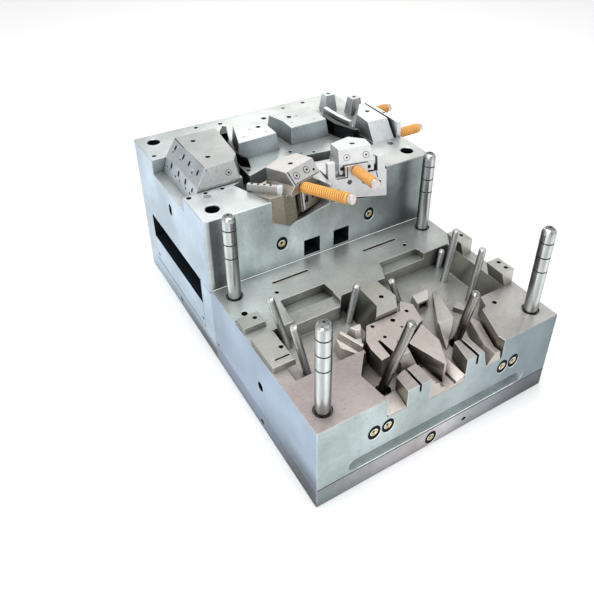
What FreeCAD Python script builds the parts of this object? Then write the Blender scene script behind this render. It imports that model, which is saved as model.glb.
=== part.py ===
import FreeCAD, Part
import math
import os
import Sketcher
from FreeCAD import Placement, Rotation, Vector

# Opened two-plate injection mould, millimetres.
# X runs along the width, Y from the fixed half in front to the moving half behind it, Z up.
# The origin is on the floor under the middle of the fixed half, on the axis of its nozzle bore.

doc = FreeCAD.newDocument("mould")

# Driving sizes

sheet = doc.addObject("Spreadsheet::Sheet", "Sizes")
sizes = (
    ("plate_w", 600, "width of every plate"),
    ("plate_l", 450, "length of each half"),
    ("half_gap", 0.5, "gap between the two halves where they stand side by side"),
    ("fixed_clamp_h", 50, "fixed clamp plate"),
    ("cavity_h", 160, "cavity plate"),
    ("moving_clamp_h", 50, "moving clamp plate"),
    ("spacer_h", 150, "spacer blocks"),
    ("spacer_l", 62, "spacer blocks, along Y"),
    ("core_h", 190, "core plate"),
    ("corner_cut", 10, "cut on the upright front corners of the core plate"),
    ("floor_depth", 50, "sunk floor of the cavity plate below its top"),
    ("pocket_y_front", -98, "front edge of both side pockets of the cavity plate"),
    ("pocket_x", 245, "outer edge of both side pockets at their floor"),
    ("pocket_lean", 24, "how much the outer pocket wall leans outward"),
    ("pillar_r", 15, "guide pillar"),
    ("pillar_inset_x", 38, "pillar axis from the side"),
    ("pillar_inset_y", 42, "pillar axis from the front or back"),
    ("pillar_out", 212, "pillar length above the cavity plate"),
    ("pillar_root", 110, "pillar length inside the cavity plate"),
    ("pillar_groove", 1.2, "depth of an oil groove"),
    ("pillar_groove_w", 3, "width of an oil groove"),
    ("pillar_groove_first", 34, "top oil groove below the end of the pillar"),
    ("pillar_groove_pitch", 35, "distance between oil grooves"),
    ("plate_edge", 1.2, "chamfer along the edges of the plates"),
    ("bush_r", 23, "outside of a guide bush"),
    ("bush_bore", 15.05, "bore of a guide bush"),
    ("bush_len", 90, "guide bush"),
    ("pin_r", 8, "angle pin"),
    ("front_pin_r", 9.5, "front angle pin"),
    ("pin_root", 60, "length of an angle pin inside the plate"),
    ("pin_bore_extra", 0.02, "radial room in the bore of an angle pin"),
    ("coupling_r", 7.5, "water coupling"),
    ("coupling_seat_r", 13, "counterbore around a water coupling"),
    ("coupling_seat_depth", 15, "depth of that counterbore"),
    ("groove_h", 31, "clamp groove height"),
    ("groove_depth", 22, "clamp groove depth"),
    ("groove_half", 229, "half of the clamp groove length"),
    ("screw_r", 8, "clamp screw shank"),
    ("screw_head_r", 13, "clamp screw head"),
    ("screw_head_h", 16, "clamp screw head height"),
    ("slot_wall", 0.3, "room around a sliding part"),
    ("ejector_base_h", 40, "ejector base plate"),
    ("ejector_retainer_h", 35, "ejector retainer plate"),
    ("ejector_room", 1.5, "room between the ejector plates and the spacer blocks"),
    ("stop_h", 5, "stop button height"),
    ("stop_r", 12, "stop button"),
    ("stop_room", 0.2, "room between a stop button and the ejector base plate"),
    ("ejector_pin_r", 4, "ejector pin"),
    ("return_pin_r", 9, "return pin"),
    ("return_inset", 33, "return pin from the inner face of a spacer block"),
    ("pin_room", 0.05, "radial room around ejector and return pins"),
    ("support_r", 20, "support pillar"),
    ("slide_floor", 38, "depth of the side slide pockets of the core plate"),
    ("slide_seat", 0.1, "room between a slide and the floor of its pocket"),
    ("spring_r", 13, "outside of a slide spring"),
    ("spring_wire", 5, "spring wire across"),
    ("rod_r", 6, "spring rod"),
    ("rod_room", 0.1, "radial room of a rod in its stop plate"),
    ("cap_r", 11, "cap at the end of a spring rod"),
    ("cap_h", 10, "height of that cap"),
    ("left_azimuth", 20, "front left slide, degrees from straight out of the front"),
    ("right_azimuth", -8, "front right slide, degrees from straight out of the front"),
    ("front_rise", 8, "front slides, degrees they climb on their way out"),
    ("front_drop", 80, "reference point of both front slides below the core plate's top"),
    ("left_base_x", -70, "reference point of the front left slide"),
    ("right_base_x", 90, "reference point of the front right slide"),
)
for row, (alias, value, note) in enumerate(sizes, start=1):
    sheet.set("A%d" % row, alias)
    sheet.set("B%d" % row, str(value))
    sheet.set("C%d" % row, note)
    sheet.setAlias("B%d" % row, alias)
doc.recompute()

TOP_FIXED = "Sizes.fixed_clamp_h + Sizes.cavity_h"
CORE_Z = "Sizes.moving_clamp_h + Sizes.spacer_h"
TOP_MOVING = CORE_Z + " + Sizes.core_h"
FLOOR_Z = TOP_FIXED + " - Sizes.floor_depth"
HALF_W = "Sizes.plate_w / 2"
HALF_L = "Sizes.plate_l / 2"
PITCH = "Sizes.plate_l + Sizes.half_gap"

parts = {}
counter = {"n": 0}


def value_of(text):
    """Number that an expression on the sheet gives."""
    if isinstance(text, (int, float)):
        return float(text)
    names = {alias: float(sheet.get(alias)) for alias, _, _ in sizes}
    total = text
    for alias in sorted(names, key=len, reverse=True):
        total = total.replace("Sizes." + alias, repr(names[alias]))
    return float(FreeCAD.Units.Quantity(total).Value)


def bind(thing, prop, given):
    """Tie a property to the sheet, or to a plain number."""
    thing.setExpression(prop, given if isinstance(given, str) else repr(float(given)))
    return thing


def new(kind, stem):
    counter["n"] += 1
    return doc.addObject(kind, "%s_%d" % (stem, counter["n"]))


def put(thing, x, y, z):
    bind(thing, "Placement.Base.x", x)
    bind(thing, "Placement.Base.y", y)
    bind(thing, "Placement.Base.z", z)
    return thing


def box(x0, x1, y0, y1, z0, z1, stem="box"):
    item = new("Part::Box", stem)
    item.setExpression("Length", "(%s) - (%s)" % (x1, x0))
    item.setExpression("Width", "(%s) - (%s)" % (y1, y0))
    item.setExpression("Height", "(%s) - (%s)" % (z1, z0))
    return put(item, x0, y0, z0)


def cylinder(x, y, z, radius, length, turn=None, stem="round"):
    """Round bar from (x, y, z) along Z, or along the turned axis."""
    item = new("Part::Cylinder", stem)
    bind(item, "Radius", radius)
    bind(item, "Height", length)
    if turn is not None:
        item.Placement = Placement(Vector(), turn)
    return put(item, x, y, z)


ALONG_X = Rotation(Vector(0, 1, 0), 90)
ALONG_Y = Rotation(Vector(1, 0, 0), -90)


def leaning(azimuth, lean):
    """Turn that tips the Z axis by lean degrees towards azimuth, counted from the front to the right."""
    towards = math.radians(azimuth)
    flat = Vector(math.sin(towards), -math.cos(towards), 0)
    axis = Vector(0, 0, 1).cross(flat)
    return Rotation(axis, lean)


def cut(base, tools, stem="cut"):
    item = new("Part::Cut", stem)
    item.Base = base
    item.Tool = join(tools) if len(tools) > 1 else tools[0]
    return item


def join(items, stem="join"):
    if len(items) == 1:
        return items[0]
    item = new("Part::MultiFuse", stem)
    item.Shapes = items
    return item


def common(items, stem="common"):
    item = new("Part::MultiCommon", stem)
    item.Shapes = items
    return item


def group(items, stem="group"):
    item = new("Part::Compound", stem)
    item.Links = items
    return item


def plane_of(body, role):
    return next(f for f in body.Origin.OriginFeatures if f.Role == role)


def outline(body, points, role="XY_Plane", offset=0):
    """Closed polygon, each corner tied by its distances from the origin."""
    sketch = body.newObject("Sketcher::SketchObject", "outline_%d" % counter["n"])
    counter["n"] += 1
    sketch.AttachmentSupport = (plane_of(body, role), [""])
    sketch.MapMode = "FlatFace"
    bind(sketch, "AttachmentOffset.Base.z", offset)
    flat = [(value_of(px), value_of(py)) for px, py in points]
    count = len(points)
    for i in range(count):
        a, b = flat[i], flat[(i + 1) % count]
        sketch.addGeometry(Part.LineSegment(Vector(a[0], a[1], 0), Vector(b[0], b[1], 0)), False)
    for i in range(count):
        sketch.addConstraint(Sketcher.Constraint("Coincident", i, 2, (i + 1) % count, 1))
    for i, (px, py) in enumerate(points):
        for kind, given, number in (("DistanceX", px, flat[i][0]), ("DistanceY", py, flat[i][1])):
            if abs(number) < 1e-9 and isinstance(given, (int, float)):
                row = sketch.addConstraint(
                    Sketcher.Constraint("PointOnObject", i, 1, -2 if kind == "DistanceX" else -1))
                continue
            row = sketch.addConstraint(Sketcher.Constraint(kind, -1, 1, i, 1, number))
            if not isinstance(given, (int, float)):
                sketch.setExpression("Constraints[%d]" % row, given)
    return sketch


def prism(points, z0, height, stem="prism", role="XY_Plane"):
    """Polygon pulled up from z0."""
    body = new("PartDesign::Body", stem)
    sketch = outline(body, points, role, z0)
    pad = body.newObject("PartDesign::Pad", stem + "_pad")
    pad.Profile = sketch
    bind(pad, "Length", height)
    sketch.Visibility = False
    body.Tip = pad
    return body


def eased(points, z0, height, stem):
    """Plate with a small chamfer along all its edges."""
    body = prism(points, z0, height, stem)
    doc.recompute()
    pad = body.Tip
    chamfer = body.newObject("PartDesign::Chamfer", stem + "_edges")
    chamfer.Base = (pad, ["Edge%d" % (k + 1) for k in range(len(pad.Shape.Edges))])
    bind(chamfer, "Size", "Sizes.plate_edge")
    body.Tip = chamfer
    return body


def block(x0, x1, y0, y1, z0, height, stem):
    """Rectangular plate with eased edges."""
    return eased([(x0, y0), (x1, y0), (x1, y1), (x0, y1)], z0, height, stem)


def tapered(low, z0, high, z1, stem="tapered"):
    """Straight-sided block between a lower and an upper polygon."""
    body = new("PartDesign::Body", stem)
    first = outline(body, low, "XY_Plane", z0)
    second = outline(body, high, "XY_Plane", z1)
    loft = body.newObject("PartDesign::AdditiveLoft", stem + "_loft")
    loft.Profile = first
    loft.Sections = [second]
    loft.Ruled = True
    body.Tip = loft
    return body


def turned(profile, stem="turned"):
    """Solid of revolution about Z from a half profile of (radius, height) corners."""
    body = new("PartDesign::Body", stem)
    sketch = outline(body, profile, "XZ_Plane")
    spin = body.newObject("PartDesign::Revolution", stem + "_turn")
    spin.Profile = sketch
    spin.ReferenceAxis = (sketch, ["V_Axis"])
    spin.Angle = 360
    body.Tip = spin
    return body


def deliver(item, name, home=None):
    """Name a finished piece and set where it stands."""
    item.Label = name
    if home == "moving":
        item.setExpression("Placement.Base.y", PITCH)
    parts[name] = item
    return item


def hole_z(x, y, z_top, radius, depth, stem="hole"):
    """Blind hole from z_top downward."""
    return cylinder(x, y, "%s - (%s)" % (z_top, depth), radius, "(%s) + 1" % depth, None, stem)


def round_slot(x0, x1, y0, y1, z0, z1):
    """Long hole along X with round ends, through the Z range."""
    radius = "((%s) - (%s)) / 2" % (y1, y0)
    middle = "((%s) + (%s)) / 2" % (y0, y1)
    deep = "(%s) - (%s)" % (z1, z0)
    return join([
        box("(%s) + %s" % (x0, radius), "(%s) - %s" % (x1, radius), y0, y1, z0, z1, "slot"),
        cylinder("(%s) + %s" % (x0, radius), middle, z0, radius, deep, None, "slot"),
        cylinder("(%s) - %s" % (x1, radius), middle, z0, radius, deep, None, "slot"),
    ])


# Couplings, seats and screws

def coupling_seat(x, z, face_y, inward):
    """Counterbore with a water bore behind it in an upright face."""
    turn = ALONG_Y if inward > 0 else Rotation(Vector(1, 0, 0), 90)
    start = "(%s) - %d" % (face_y, inward)
    return join([
        cylinder(x, start, z, "Sizes.coupling_seat_r", "Sizes.coupling_seat_depth + 1", turn, "seat"),
        cylinder(x, start, z, "Sizes.coupling_r - 1", "Sizes.coupling_seat_depth + 61", turn, "water"),
    ])


def coupling(x, z, face_y, inward):
    """Brass hose coupling: hexagon foot, stem and bore."""
    depth = "Sizes.coupling_seat_depth"
    foot = prism([("Sizes.coupling_r * %.4f" % (1.3 * math.cos(math.radians(60 * k))),
                   "Sizes.coupling_r * %.4f" % (1.3 * math.sin(math.radians(60 * k)))) for k in range(6)],
                 0, 7, "coupling_foot")
    stem_bar = cylinder(0, 0, 0, "Sizes.coupling_r - 1.5", depth + " - 2", None, "coupling_stem")
    bore = cylinder(0, 0, -1, "Sizes.coupling_r / 2", depth + " + 2", None, "coupling_bore")
    item = cut(join([foot, stem_bar]), [bore], "coupling")
    turn = Rotation(Vector(1, 0, 0), 90) if inward > 0 else ALONG_Y
    item.Placement = Placement(Vector(), turn)
    return put(item, x, "(%s) + %d * %s" % (face_y, inward, depth), z)


def cap_screw(x, y, z, length, turn=None):
    """Socket head cap screw, head at the start of its axis."""
    head = cylinder(0, 0, 0, "Sizes.screw_head_r - 0.5", "Sizes.screw_head_h", None, "head")
    shank = cylinder(0, 0, 0, "Sizes.screw_r", length, None, "shank")
    socket = prism([("Sizes.screw_r * %.4f" % (0.8 * math.cos(math.radians(60 * k))),
                     "Sizes.screw_r * %.4f" % (0.8 * math.sin(math.radians(60 * k)))) for k in range(6)],
                   -1, "Sizes.screw_r + 1", "socket")
    item = cut(join([head, shank]), [socket], "cap_screw")
    if turn is not None:
        item.Placement = Placement(Vector(), turn)
    return put(item, x, y, z)


def screw_hole(x, y, z, length):
    """Counterbored hole from below for a cap screw."""
    return join([
        cylinder(x, y, "(%s) - 1" % z, "Sizes.screw_head_r", "Sizes.screw_head_h + 1", None, "screw_seat"),
        cylinder(x, y, "(%s) - 1" % z, "Sizes.screw_r", "(%s) + 1" % length, None, "screw_bore"),
    ])


CORNERS = [(sx, sy) for sx in (-1, 1) for sy in (-1, 1)]


def corner_x(sx, inset="Sizes.pillar_inset_x"):
    return "%d * (%s - %s)" % (sx, HALF_W, inset)


def corner_y(sy, inset="Sizes.pillar_inset_y"):
    return "%d * (%s - %s)" % (sy, HALF_L, inset)


CLAMP_X, CLAMP_Y = 210, 150
FIXED_SCREW = "Sizes.fixed_clamp_h + 45"
THREAD_DEEP = "40"
MOVING_SCREW = "Sizes.moving_clamp_h + Sizes.spacer_h + %s" % THREAD_DEEP
LIFT_R = 11

# Fixed clamp plate

plate = block("-" + HALF_W, HALF_W, "-" + HALF_L, HALF_L, 0, "Sizes.fixed_clamp_h", "fixed_clamp")
RING_R, RING_H, RING_BORE = 50, 12, 18
SPRUE_HEAD_R, SPRUE_HEAD_H, SPRUE_R = 24, 20, 12
FRONT = "-" + HALF_L
tools = [screw_hole(sx * CLAMP_X, sy * CLAMP_Y, 0, FIXED_SCREW) for sx, sy in CORNERS]
tools += [
    cylinder(0, 0, -1, RING_R, RING_H + 1, None, "ring_seat"),
    cylinder(0, 0, 0, SPRUE_HEAD_R, RING_H + SPRUE_HEAD_H, None, "sprue_seat"),
    cylinder(0, 0, 0, SPRUE_R, 60, None, "sprue_bore"),
    coupling_seat(-24, 23, FRONT, 1),
    cylinder(66, FRONT + " - 1", 24, 6, 19, ALONG_Y, "side_screw_hole"),
    cylinder("-%s - 1" % HALF_W, -6, 16, 8, 31, ALONG_X, "side_hole"),
    cylinder("%s - 30" % HALF_W, -6, 16, 8, 31, ALONG_X, "side_hole"),
]
deliver(cut(plate, tools, "fixed_clamp_plate"), "fixed_clamp_plate")

# Cavity plate

plate = block("-" + HALF_W, HALF_W, "-" + HALF_L, HALF_L, "Sizes.fixed_clamp_h", "Sizes.cavity_h", "cavity")
PY = "Sizes.pocket_y_front"
PX = "Sizes.pocket_x"
OUT = "Sizes.plate_l / 2 + 1"
LEFT_BACK, RIGHT_BACK, MID_BACK = 45, 92, 64
floor_outline = [
    ("-" + PX, LEFT_BACK), ("-" + PX, PY), (-112, PY), (-157, -151), (-150, -208), (-146, "-(%s)" % OUT),
    (-100, "-(%s)" % OUT), (-98, -185), (-80, -179), (-45, -177), (-44, "-(%s)" % OUT), (46, "-(%s)" % OUT),
    (58, -172), (104, -176), (106, -190), (104, "-(%s)" % OUT), (147, "-(%s)" % OUT), (144, -208), (173, -131),
    (188, -126), (199, PY), (PX, PY), (PX, RIGHT_BACK), (70, RIGHT_BACK), (58, MID_BACK), (-60, MID_BACK),
    (-75, LEFT_BACK),
]
tools = [prism(floor_outline, FLOOR_Z, "Sizes.floor_depth + 1", "sunk_floor")]
for side in (-1, 1):
    back = LEFT_BACK if side < 0 else RIGHT_BACK
    shoulder = [("%d * (%s - 2)" % (side, PX), FLOOR_Z), ("%d * (%s)" % (side, PX), FLOOR_Z),
                ("%d * (%s + Sizes.pocket_lean)" % (side, PX), TOP_FIXED),
                ("%d * (%s + Sizes.pocket_lean)" % (side, PX), TOP_FIXED + " + 1"),
                ("%d * (%s - 2)" % (side, PX), TOP_FIXED + " + 1")]
    wall = prism(shoulder, "-(%d)" % back, "%d - (%s)" % (back, PY), "leaning_wall", "XZ_Plane")
    tools.append(wall)
# Stepped recesses behind the side pockets, thin slots, front channel and lesser pockets
SHELF = TOP_FIXED + " - 12"
tools += [
    prism([(-190, LEFT_BACK - 1), (-70, LEFT_BACK - 1), (-70, 84), (-190, 84)], SHELF, 13, "left_shelf"),
    prism([(-188, 83), (-68, 83), (-72, 118), (-184, 118)], TOP_FIXED + " - 25", 26, "left_recess"),
    prism([(73, RIGHT_BACK - 1), (196, RIGHT_BACK - 1), (190, 117), (80, 117)], TOP_FIXED + " - 18", 19, "right_recess"),
    round_slot(-171, -77, 176, 182, TOP_FIXED + " - 8", TOP_FIXED + " + 1"),
    round_slot(74, 171, 172, 178, TOP_FIXED + " - 8", TOP_FIXED + " + 1"),
    box(-44, 46, "-(%s)" % OUT, -176, FLOOR_Z + " - 12", TOP_FIXED + " + 1", "channel_mouth"),
    box(-73, -67, "-(%s)" % OUT, -177, FLOOR_Z + " + 26", TOP_FIXED + " + 1", "post_slot"),
    box(-101, -43, "-(%s)" % OUT, -176, TOP_FIXED + " - 5", TOP_FIXED + " + 1", "low_post"),
    box(70, 77, "-(%s)" % OUT, -170, FLOOR_Z + " + 22", TOP_FIXED + " + 1", "post_slot"),
    box(46, 105, "-(%s)" % OUT, -170, TOP_FIXED + " - 3", TOP_FIXED + " + 1", "low_post"),
    prism([(92, TOP_FIXED + " + 1"), (90, TOP_FIXED + " - 4"), (103, FLOOR_Z), (106, FLOOR_Z), (106, TOP_FIXED + " + 1")],
          168, 60, "post_side", "XZ_Plane"),
    cylinder(-177, 146, TOP_FIXED + " - 20", 5, 21, None, "small_hole"),
    cylinder(176, 143, TOP_FIXED + " - 20", 5, 21, None, "small_hole"),
    cylinder(212, -127, TOP_FIXED + " - 20", 5.5, 21, None, "small_hole"),
]
tools.append(cylinder(-269, 120, TOP_FIXED + " - 14", 7, 15, None, "heel_hole"))
tools.append(box(-296, -252, 104, 110, TOP_FIXED + " - 8", TOP_FIXED + " + 1", "heel_slot"))
# Clamp groove along the front and the back
for side in (-1, 1):
    face = "%d * (%s)" % (side, HALF_L)
    z0, z1 = "Sizes.fixed_clamp_h + 4", "Sizes.fixed_clamp_h + 4 + Sizes.groove_h"
    low_y = face + (" - 1" if side < 0 else " - Sizes.groove_depth")
    high_y = face + (" + Sizes.groove_depth" if side < 0 else " + 1")
    half_h = "Sizes.groove_h / 2"
    tools.append(box("-Sizes.groove_half + " + half_h, "Sizes.groove_half - " + half_h, low_y, high_y, z0, z1, "clamp_groove"))
    for end in (-1, 1):
        tools.append(cylinder("%d * (Sizes.groove_half - %s)" % (end, half_h), low_y, "Sizes.fixed_clamp_h + 4 + " + half_h,
                              half_h, "Sizes.groove_depth + 1", ALONG_Y, "groove_end"))
tools += [coupling_seat(x, z, FRONT, 1) for x, z in ((-174, 136), (-142, 136), (154, 133), (185, 134))]
for side in (-1, 1):
    start = "-%s - 1" % HALF_W if side < 0 else "%s - 50" % HALF_W
    tools.append(cylinder(start, -6, 124, LIFT_R, 51, ALONG_X, "lifting_hole"))
tools.append(cylinder("-%s - 1" % HALF_W, 212, 56, 5, 21, ALONG_X, "pry_hole"))
tools += [cylinder(sx * CLAMP_X, sy * CLAMP_Y, 40, "Sizes.screw_r", FIXED_SCREW + " - 40 + 1", None, "thread") for sx, sy in CORNERS]
tools.append(cylinder(0, 0, 40, SPRUE_R, 200, None, "sprue_way"))
for sx, sy in CORNERS:
    x, y = corner_x(sx), corner_y(sy)
    tools.append(cylinder(x, y, TOP_FIXED + " - Sizes.pillar_root", "Sizes.pillar_r", "Sizes.pillar_root + 1", None, "pillar_bore"))
    tools.append(cylinder(x, y, TOP_FIXED + " - 4", "Sizes.pillar_r + 4", 5, None, "pillar_ring"))
# Name, foot x, foot y, lean azimuth, lean, reach above the floor, radius
PINS = (
    ("left_angle_pins", -214, 32, -90, 14.0, 149, "Sizes.pin_r"),
    ("left_angle_pins", -216, -51, -90, 12.2, 139, "Sizes.pin_r"),
    ("centre_core_pins", -62, 30, 90, 10.6, 97, "Sizes.pin_r"),
    ("centre_core_pins", 75, 31, -90, 20.0, 70, "Sizes.pin_r"),
    ("right_angle_pins", 212, 32, 90, 7.8, 142, "Sizes.pin_r"),
    ("right_angle_pins", 215, -52, 90, 7.0, 141, "Sizes.pin_r"),
    ("right_angle_pins", 236, 80, 90, 6.4, 50, "Sizes.pin_r"),
    ("front_angle_pins", -115, -165, 45, 13.4, 187, "Sizes.front_pin_r"),
    ("front_angle_pins", 95, -142, 45, 9.4, 145, "Sizes.front_pin_r"),
)


def pin_start(x, y, azimuth, lean):
    """Lower end of a leaning pin whose axis crosses the sunk floor at (x, y)."""
    towards = math.radians(azimuth)
    run = math.sin(math.radians(lean))
    return ("%s - Sizes.pin_root * %.5f" % (x, run * math.sin(towards)),
            "%s + Sizes.pin_root * %.5f" % (y, run * math.cos(towards)),
            FLOOR_Z + " - Sizes.pin_root * %.5f" % math.cos(math.radians(lean)))


pin_sets = {}
pin_bores = []
for name, x, y, azimuth, lean, reach, radius in PINS:
    turn = leaning(azimuth, lean)
    above = "%.3f" % (reach / math.cos(math.radians(lean)))
    length = "Sizes.pin_root + " + above
    start = pin_start(x, y, azimuth, lean)
    tip = 5
    body = turned([(0, 0), (radius, 0), (radius, "%s - %d" % (length, tip)), (radius + " * 0.82", "%s - 1.6" % length),
                   (radius + " * 0.45", length), (0, length)], "pin")
    body.Placement = Placement(Vector(), turn)
    put(body, *start)
    pin_sets.setdefault(name, []).append(body)
    pin_bores.append(cylinder(*start, radius + " + Sizes.pin_bore_extra", "Sizes.pin_root + 40", turn, "pin_bore"))
tools += pin_bores
# Wells round the feet of the front pins
WELL_DEPTH = 20
tools += [
    cylinder(-113, -167, FLOOR_Z + " - %d" % WELL_DEPTH, 16, WELL_DEPTH + 1, None, "pin_well"),
    cylinder(97, -144, FLOOR_Z + " - %d" % WELL_DEPTH, 16, WELL_DEPTH + 1, None, "pin_well"),
]
deliver(cut(plate, tools, "cavity_plate"), "cavity_plate")
for name, items in pin_sets.items():
    deliver(group(items, name) if len(items) > 1 else items[0], name)

# Nozzle ring and sprue bush

ring = cut(cylinder(0, 0, 0, RING_R - 0.03, RING_H, None, "ring"), [cylinder(0, 0, -1, RING_BORE, RING_H + 2, None, "ring_bore")], "locating_ring")
deliver(ring, "locating_ring")
SPRUE_TOP = 160
bush = turned([(3, RING_H), (SPRUE_HEAD_R - 0.05, RING_H), (SPRUE_HEAD_R - 0.05, RING_H + SPRUE_HEAD_H),
               (SPRUE_R - 0.02, RING_H + SPRUE_HEAD_H), (SPRUE_R - 0.02, SPRUE_TOP), (4.5, SPRUE_TOP)], "sprue_bush")
deliver(bush, "sprue_bush")

# Guide pillars

GROOVES = 3
for index, (sx, sy) in enumerate(CORNERS, start=1):
    length = "Sizes.pillar_root + Sizes.pillar_out"
    r = "Sizes.pillar_r"
    rg = "Sizes.pillar_r - Sizes.pillar_groove"
    profile = [(0, 0), (r, 0)]
    for g in range(GROOVES, 0, -1):
        low = "%s - Sizes.pillar_groove_first - Sizes.pillar_groove_pitch * %d" % (length, g - 1)
        profile += [(r, low), (rg, low + " + 0.4"), (rg, low + " + Sizes.pillar_groove_w - 0.4"), (r, low + " + Sizes.pillar_groove_w")]
    profile += [(r, length + " - 13"), (r + " * 0.93", length + " - 8"), (r + " * 0.8", length + " - 4"),
                (r + " * 0.55", length + " - 1"), (r + " * 0.3", length), (0, length)]
    pillar = turned(profile, "guide_pillar")
    put(pillar, corner_x(sx), corner_y(sy), TOP_FIXED + " - Sizes.pillar_root")
    deliver(pillar, "guide_pillar_%d" % index)

# Inserts standing on the sunk floor

RISE = 6
centre_low = [(-52, 63), (35, 62), (43, -2), (19, -38), (-48, -38), (-50, 2)]
centre_high = [(-17, 62), (31, 60), (37, -4), (15, -37), (-39, -37), (-18, -10)]
centre = tapered(centre_low, FLOOR_Z, centre_high, TOP_FIXED + " + %d" % RISE, "centre_block")
pin_way = cylinder(*pin_start(-62, 30, 90, 10.6), 12, 300, leaning(90, 10.6), "pin_way")
pin_way_right = cylinder(*pin_start(75, 31, -90, 20.0), 12, 300, leaning(-90, 20.0), "pin_way")
centre_holes = [cylinder(0, 0, 150, 4.5, FLOOR_Z + " + 20 - 150", None, "runner"), hole_z(8, 10, TOP_FIXED + " + %d" % RISE, 5.5, 20),
                pin_way, pin_way_right]
deliver(cut(centre, centre_holes, "centre_block"), "centre_block")

PLATEAU = TOP_FIXED + " - 5"
plateau = tapered([(-94, -76), (-68, -39.5), (22, -39.5), (44, -10), (64, -34), (50, -88), (36, -92), (-22, -122), (-22, -176),
                   (-62, -176), (-62, -126), (-64, -90), (-74, -90), (-76, -134), (-97, -138), (-98, -100)], FLOOR_Z,
                  [(-92, -76), (-66, -40), (21, -40), (42, -14), (60, -36), (46, -86), (34, -90), (-28, -124), (-34, -146),
                   (-62, -146), (-62, -126), (-66, -88), (-72, -88), (-75, -134), (-96, -136), (-97, -100)], PLATEAU, "plateau")
plateau_holes = [hole_z(x, y, PLATEAU, r, 16) for x, y, r in
                 ((-8, -54, 5.5), (35, -46, 4.5), (-56, -48, 4.5), (-52, -86, 4), (-4, -80, 3))]
plateau_holes.append(box(-40, -12, -114, -109, PLATEAU + " - 8", PLATEAU + " + 1", "plateau_groove"))
deliver(cut(plateau, plateau_holes, "centre_insert"), "centre_insert")

LEFT_CORE_STEP = TOP_FIXED + " - 18"
core_base = tapered([(-141, -56), (-137, -25), (-70, -25), (-74, -39), (-97, -72), (-101, -96), (-118, -97)], FLOOR_Z,
                    [(-139, -54), (-134, -28), (-72, -28), (-76, -40), (-99, -72), (-103, -92), (-115, -94)], LEFT_CORE_STEP, "left_core")
core_bar_top = tapered([(-133, -30), (-119, -26), (-101, -82), (-113, -92)], LEFT_CORE_STEP,
                       [(-128, -31), (-121, -29), (-103, -83), (-109, -88)], TOP_FIXED + " - 2", "left_core_bar")
core_round = tapered([(-108, -28), (-72, -28), (-76, -40), (-86, -56), (-100, -50)], LEFT_CORE_STEP,
                     [(-100, -30), (-76, -30), (-79, -39), (-85, -46), (-94, -42)], TOP_FIXED + " - 2", "left_core_end")
deliver(join([core_base, core_bar_top, core_round], "left_core_insert"), "left_core_insert")

WEDGE_TOP = FLOOR_Z + " + 34"
side_view = prism([(14, FLOOR_Z), (-150, FLOOR_Z), (-106, WEDGE_TOP)], 60, 130, "wedge_side", "YZ_Plane")
plan_view = prism([(160, 11), (79, -98), (65, -149), (78, -138), (108, -114), (118, -103), (172, 10)], FLOOR_Z + " - 1", 60, "wedge_plan")
wedge = common([side_view, plan_view], "wedge_insert")
deliver(wedge, "wedge_insert")

frame_box = cut(tapered([(84, -24), (118, -24), (142, 8), (92, 8)], FLOOR_Z, [(86, -22), (117, -22), (139, 6), (94, 6)],
                        FLOOR_Z + " + 24", "box_insert"),
                [box(92, 114, -29, -8, FLOOR_Z + " + 4", FLOOR_Z + " + 19", "box_mouth"),
                 cylinder(*pin_start(75, 31, -90, 20.0), 12, 300, leaning(-90, 20.0), "pin_way")], "box_insert")
deliver(frame_box, "box_insert")

# Ridge between the two ramps of the middle channel
RIDGE_TOP = TOP_FIXED + " - 6"
MOUTH_Z = FLOOR_Z + " - 12"
END = FRONT + " + 0.5"
ridge = prism([(-20, -125), (4, -206), (9, -206), (38, -150), (37, -94)], MOUTH_Z, "%s - (%s)" % (RIDGE_TOP, MOUTH_Z), "ridge")
left_slope = prism([(-43.7, MOUTH_Z), (-43.7, TOP_FIXED + " - 11"), (-36, TOP_FIXED + " - 14"), (-32, TOP_FIXED + " - 24"),
                    (-22, TOP_FIXED + " - 28"), (-16, TOP_FIXED + " - 42"), (-4, TOP_FIXED + " - 48"), (2, MOUTH_Z)],
                   124, "%s - 124.5" % HALF_L, "left_slope", "XZ_Plane")
right_slope = prism([(0, MOUTH_Z), (2, MOUTH_Z + " + 3"), (22, MOUTH_Z + " + 6"), (25, MOUTH_Z + " + 11"), (45.7, MOUTH_Z + " + 20"),
                     (45.7, MOUTH_Z)], 124, "%s - 124.5" % HALF_L, "right_slope", "XZ_Plane")
ridge_body = join([ridge, left_slope, right_slope])
under = box(-60, 80, -176.3, -60, MOUTH_Z + " - 5", FLOOR_Z, "floor_keep")
beside = prism([(-62.5, -60), (-62.5, -176.5), (-21.5, -176.5), (-21.5, -121.5), (36.5, -91.5), (50.5, -87.5), (60, -60)],
               FLOOR_Z, 60, "plateau_room")
deliver(cut(ridge_body, [under, beside], "ridge_insert"), "ridge_insert")

# Ramps in the outer channels
left_ramp = common([
    prism([(-100, FLOOR_Z), (END, FLOOR_Z), (END, FLOOR_Z + " + 4"), (-190, FLOOR_Z + " + 12"), (-186, FLOOR_Z + " + 12")], -160, 66, "ramp", "YZ_Plane"),
    prism([(-142, -188), (-144, END), (-101, END), (-99, -188)], FLOOR_Z, 30, "ramp_plan"),
])
right_ramp = tapered([(107, -192), (106, END), (143, END), (141, -208), (168, -134), (158, -112), (144, -118)], FLOOR_Z,
                     [(126, -190), (128, -222), (141, -222), (139, -207), (166, -136), (160, -116), (151, -122)], FLOOR_Z + " + 22", "right_ramp")
step = tapered([(156, -62), (170, -86), (190, -74), (180, -48)], FLOOR_Z, [(159, -62), (171, -82), (186, -72), (178, -52)], FLOOR_Z + " + 12", "step")
deliver(group([left_ramp, right_ramp, step], "ramp_inserts"), "ramp_inserts")

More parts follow.
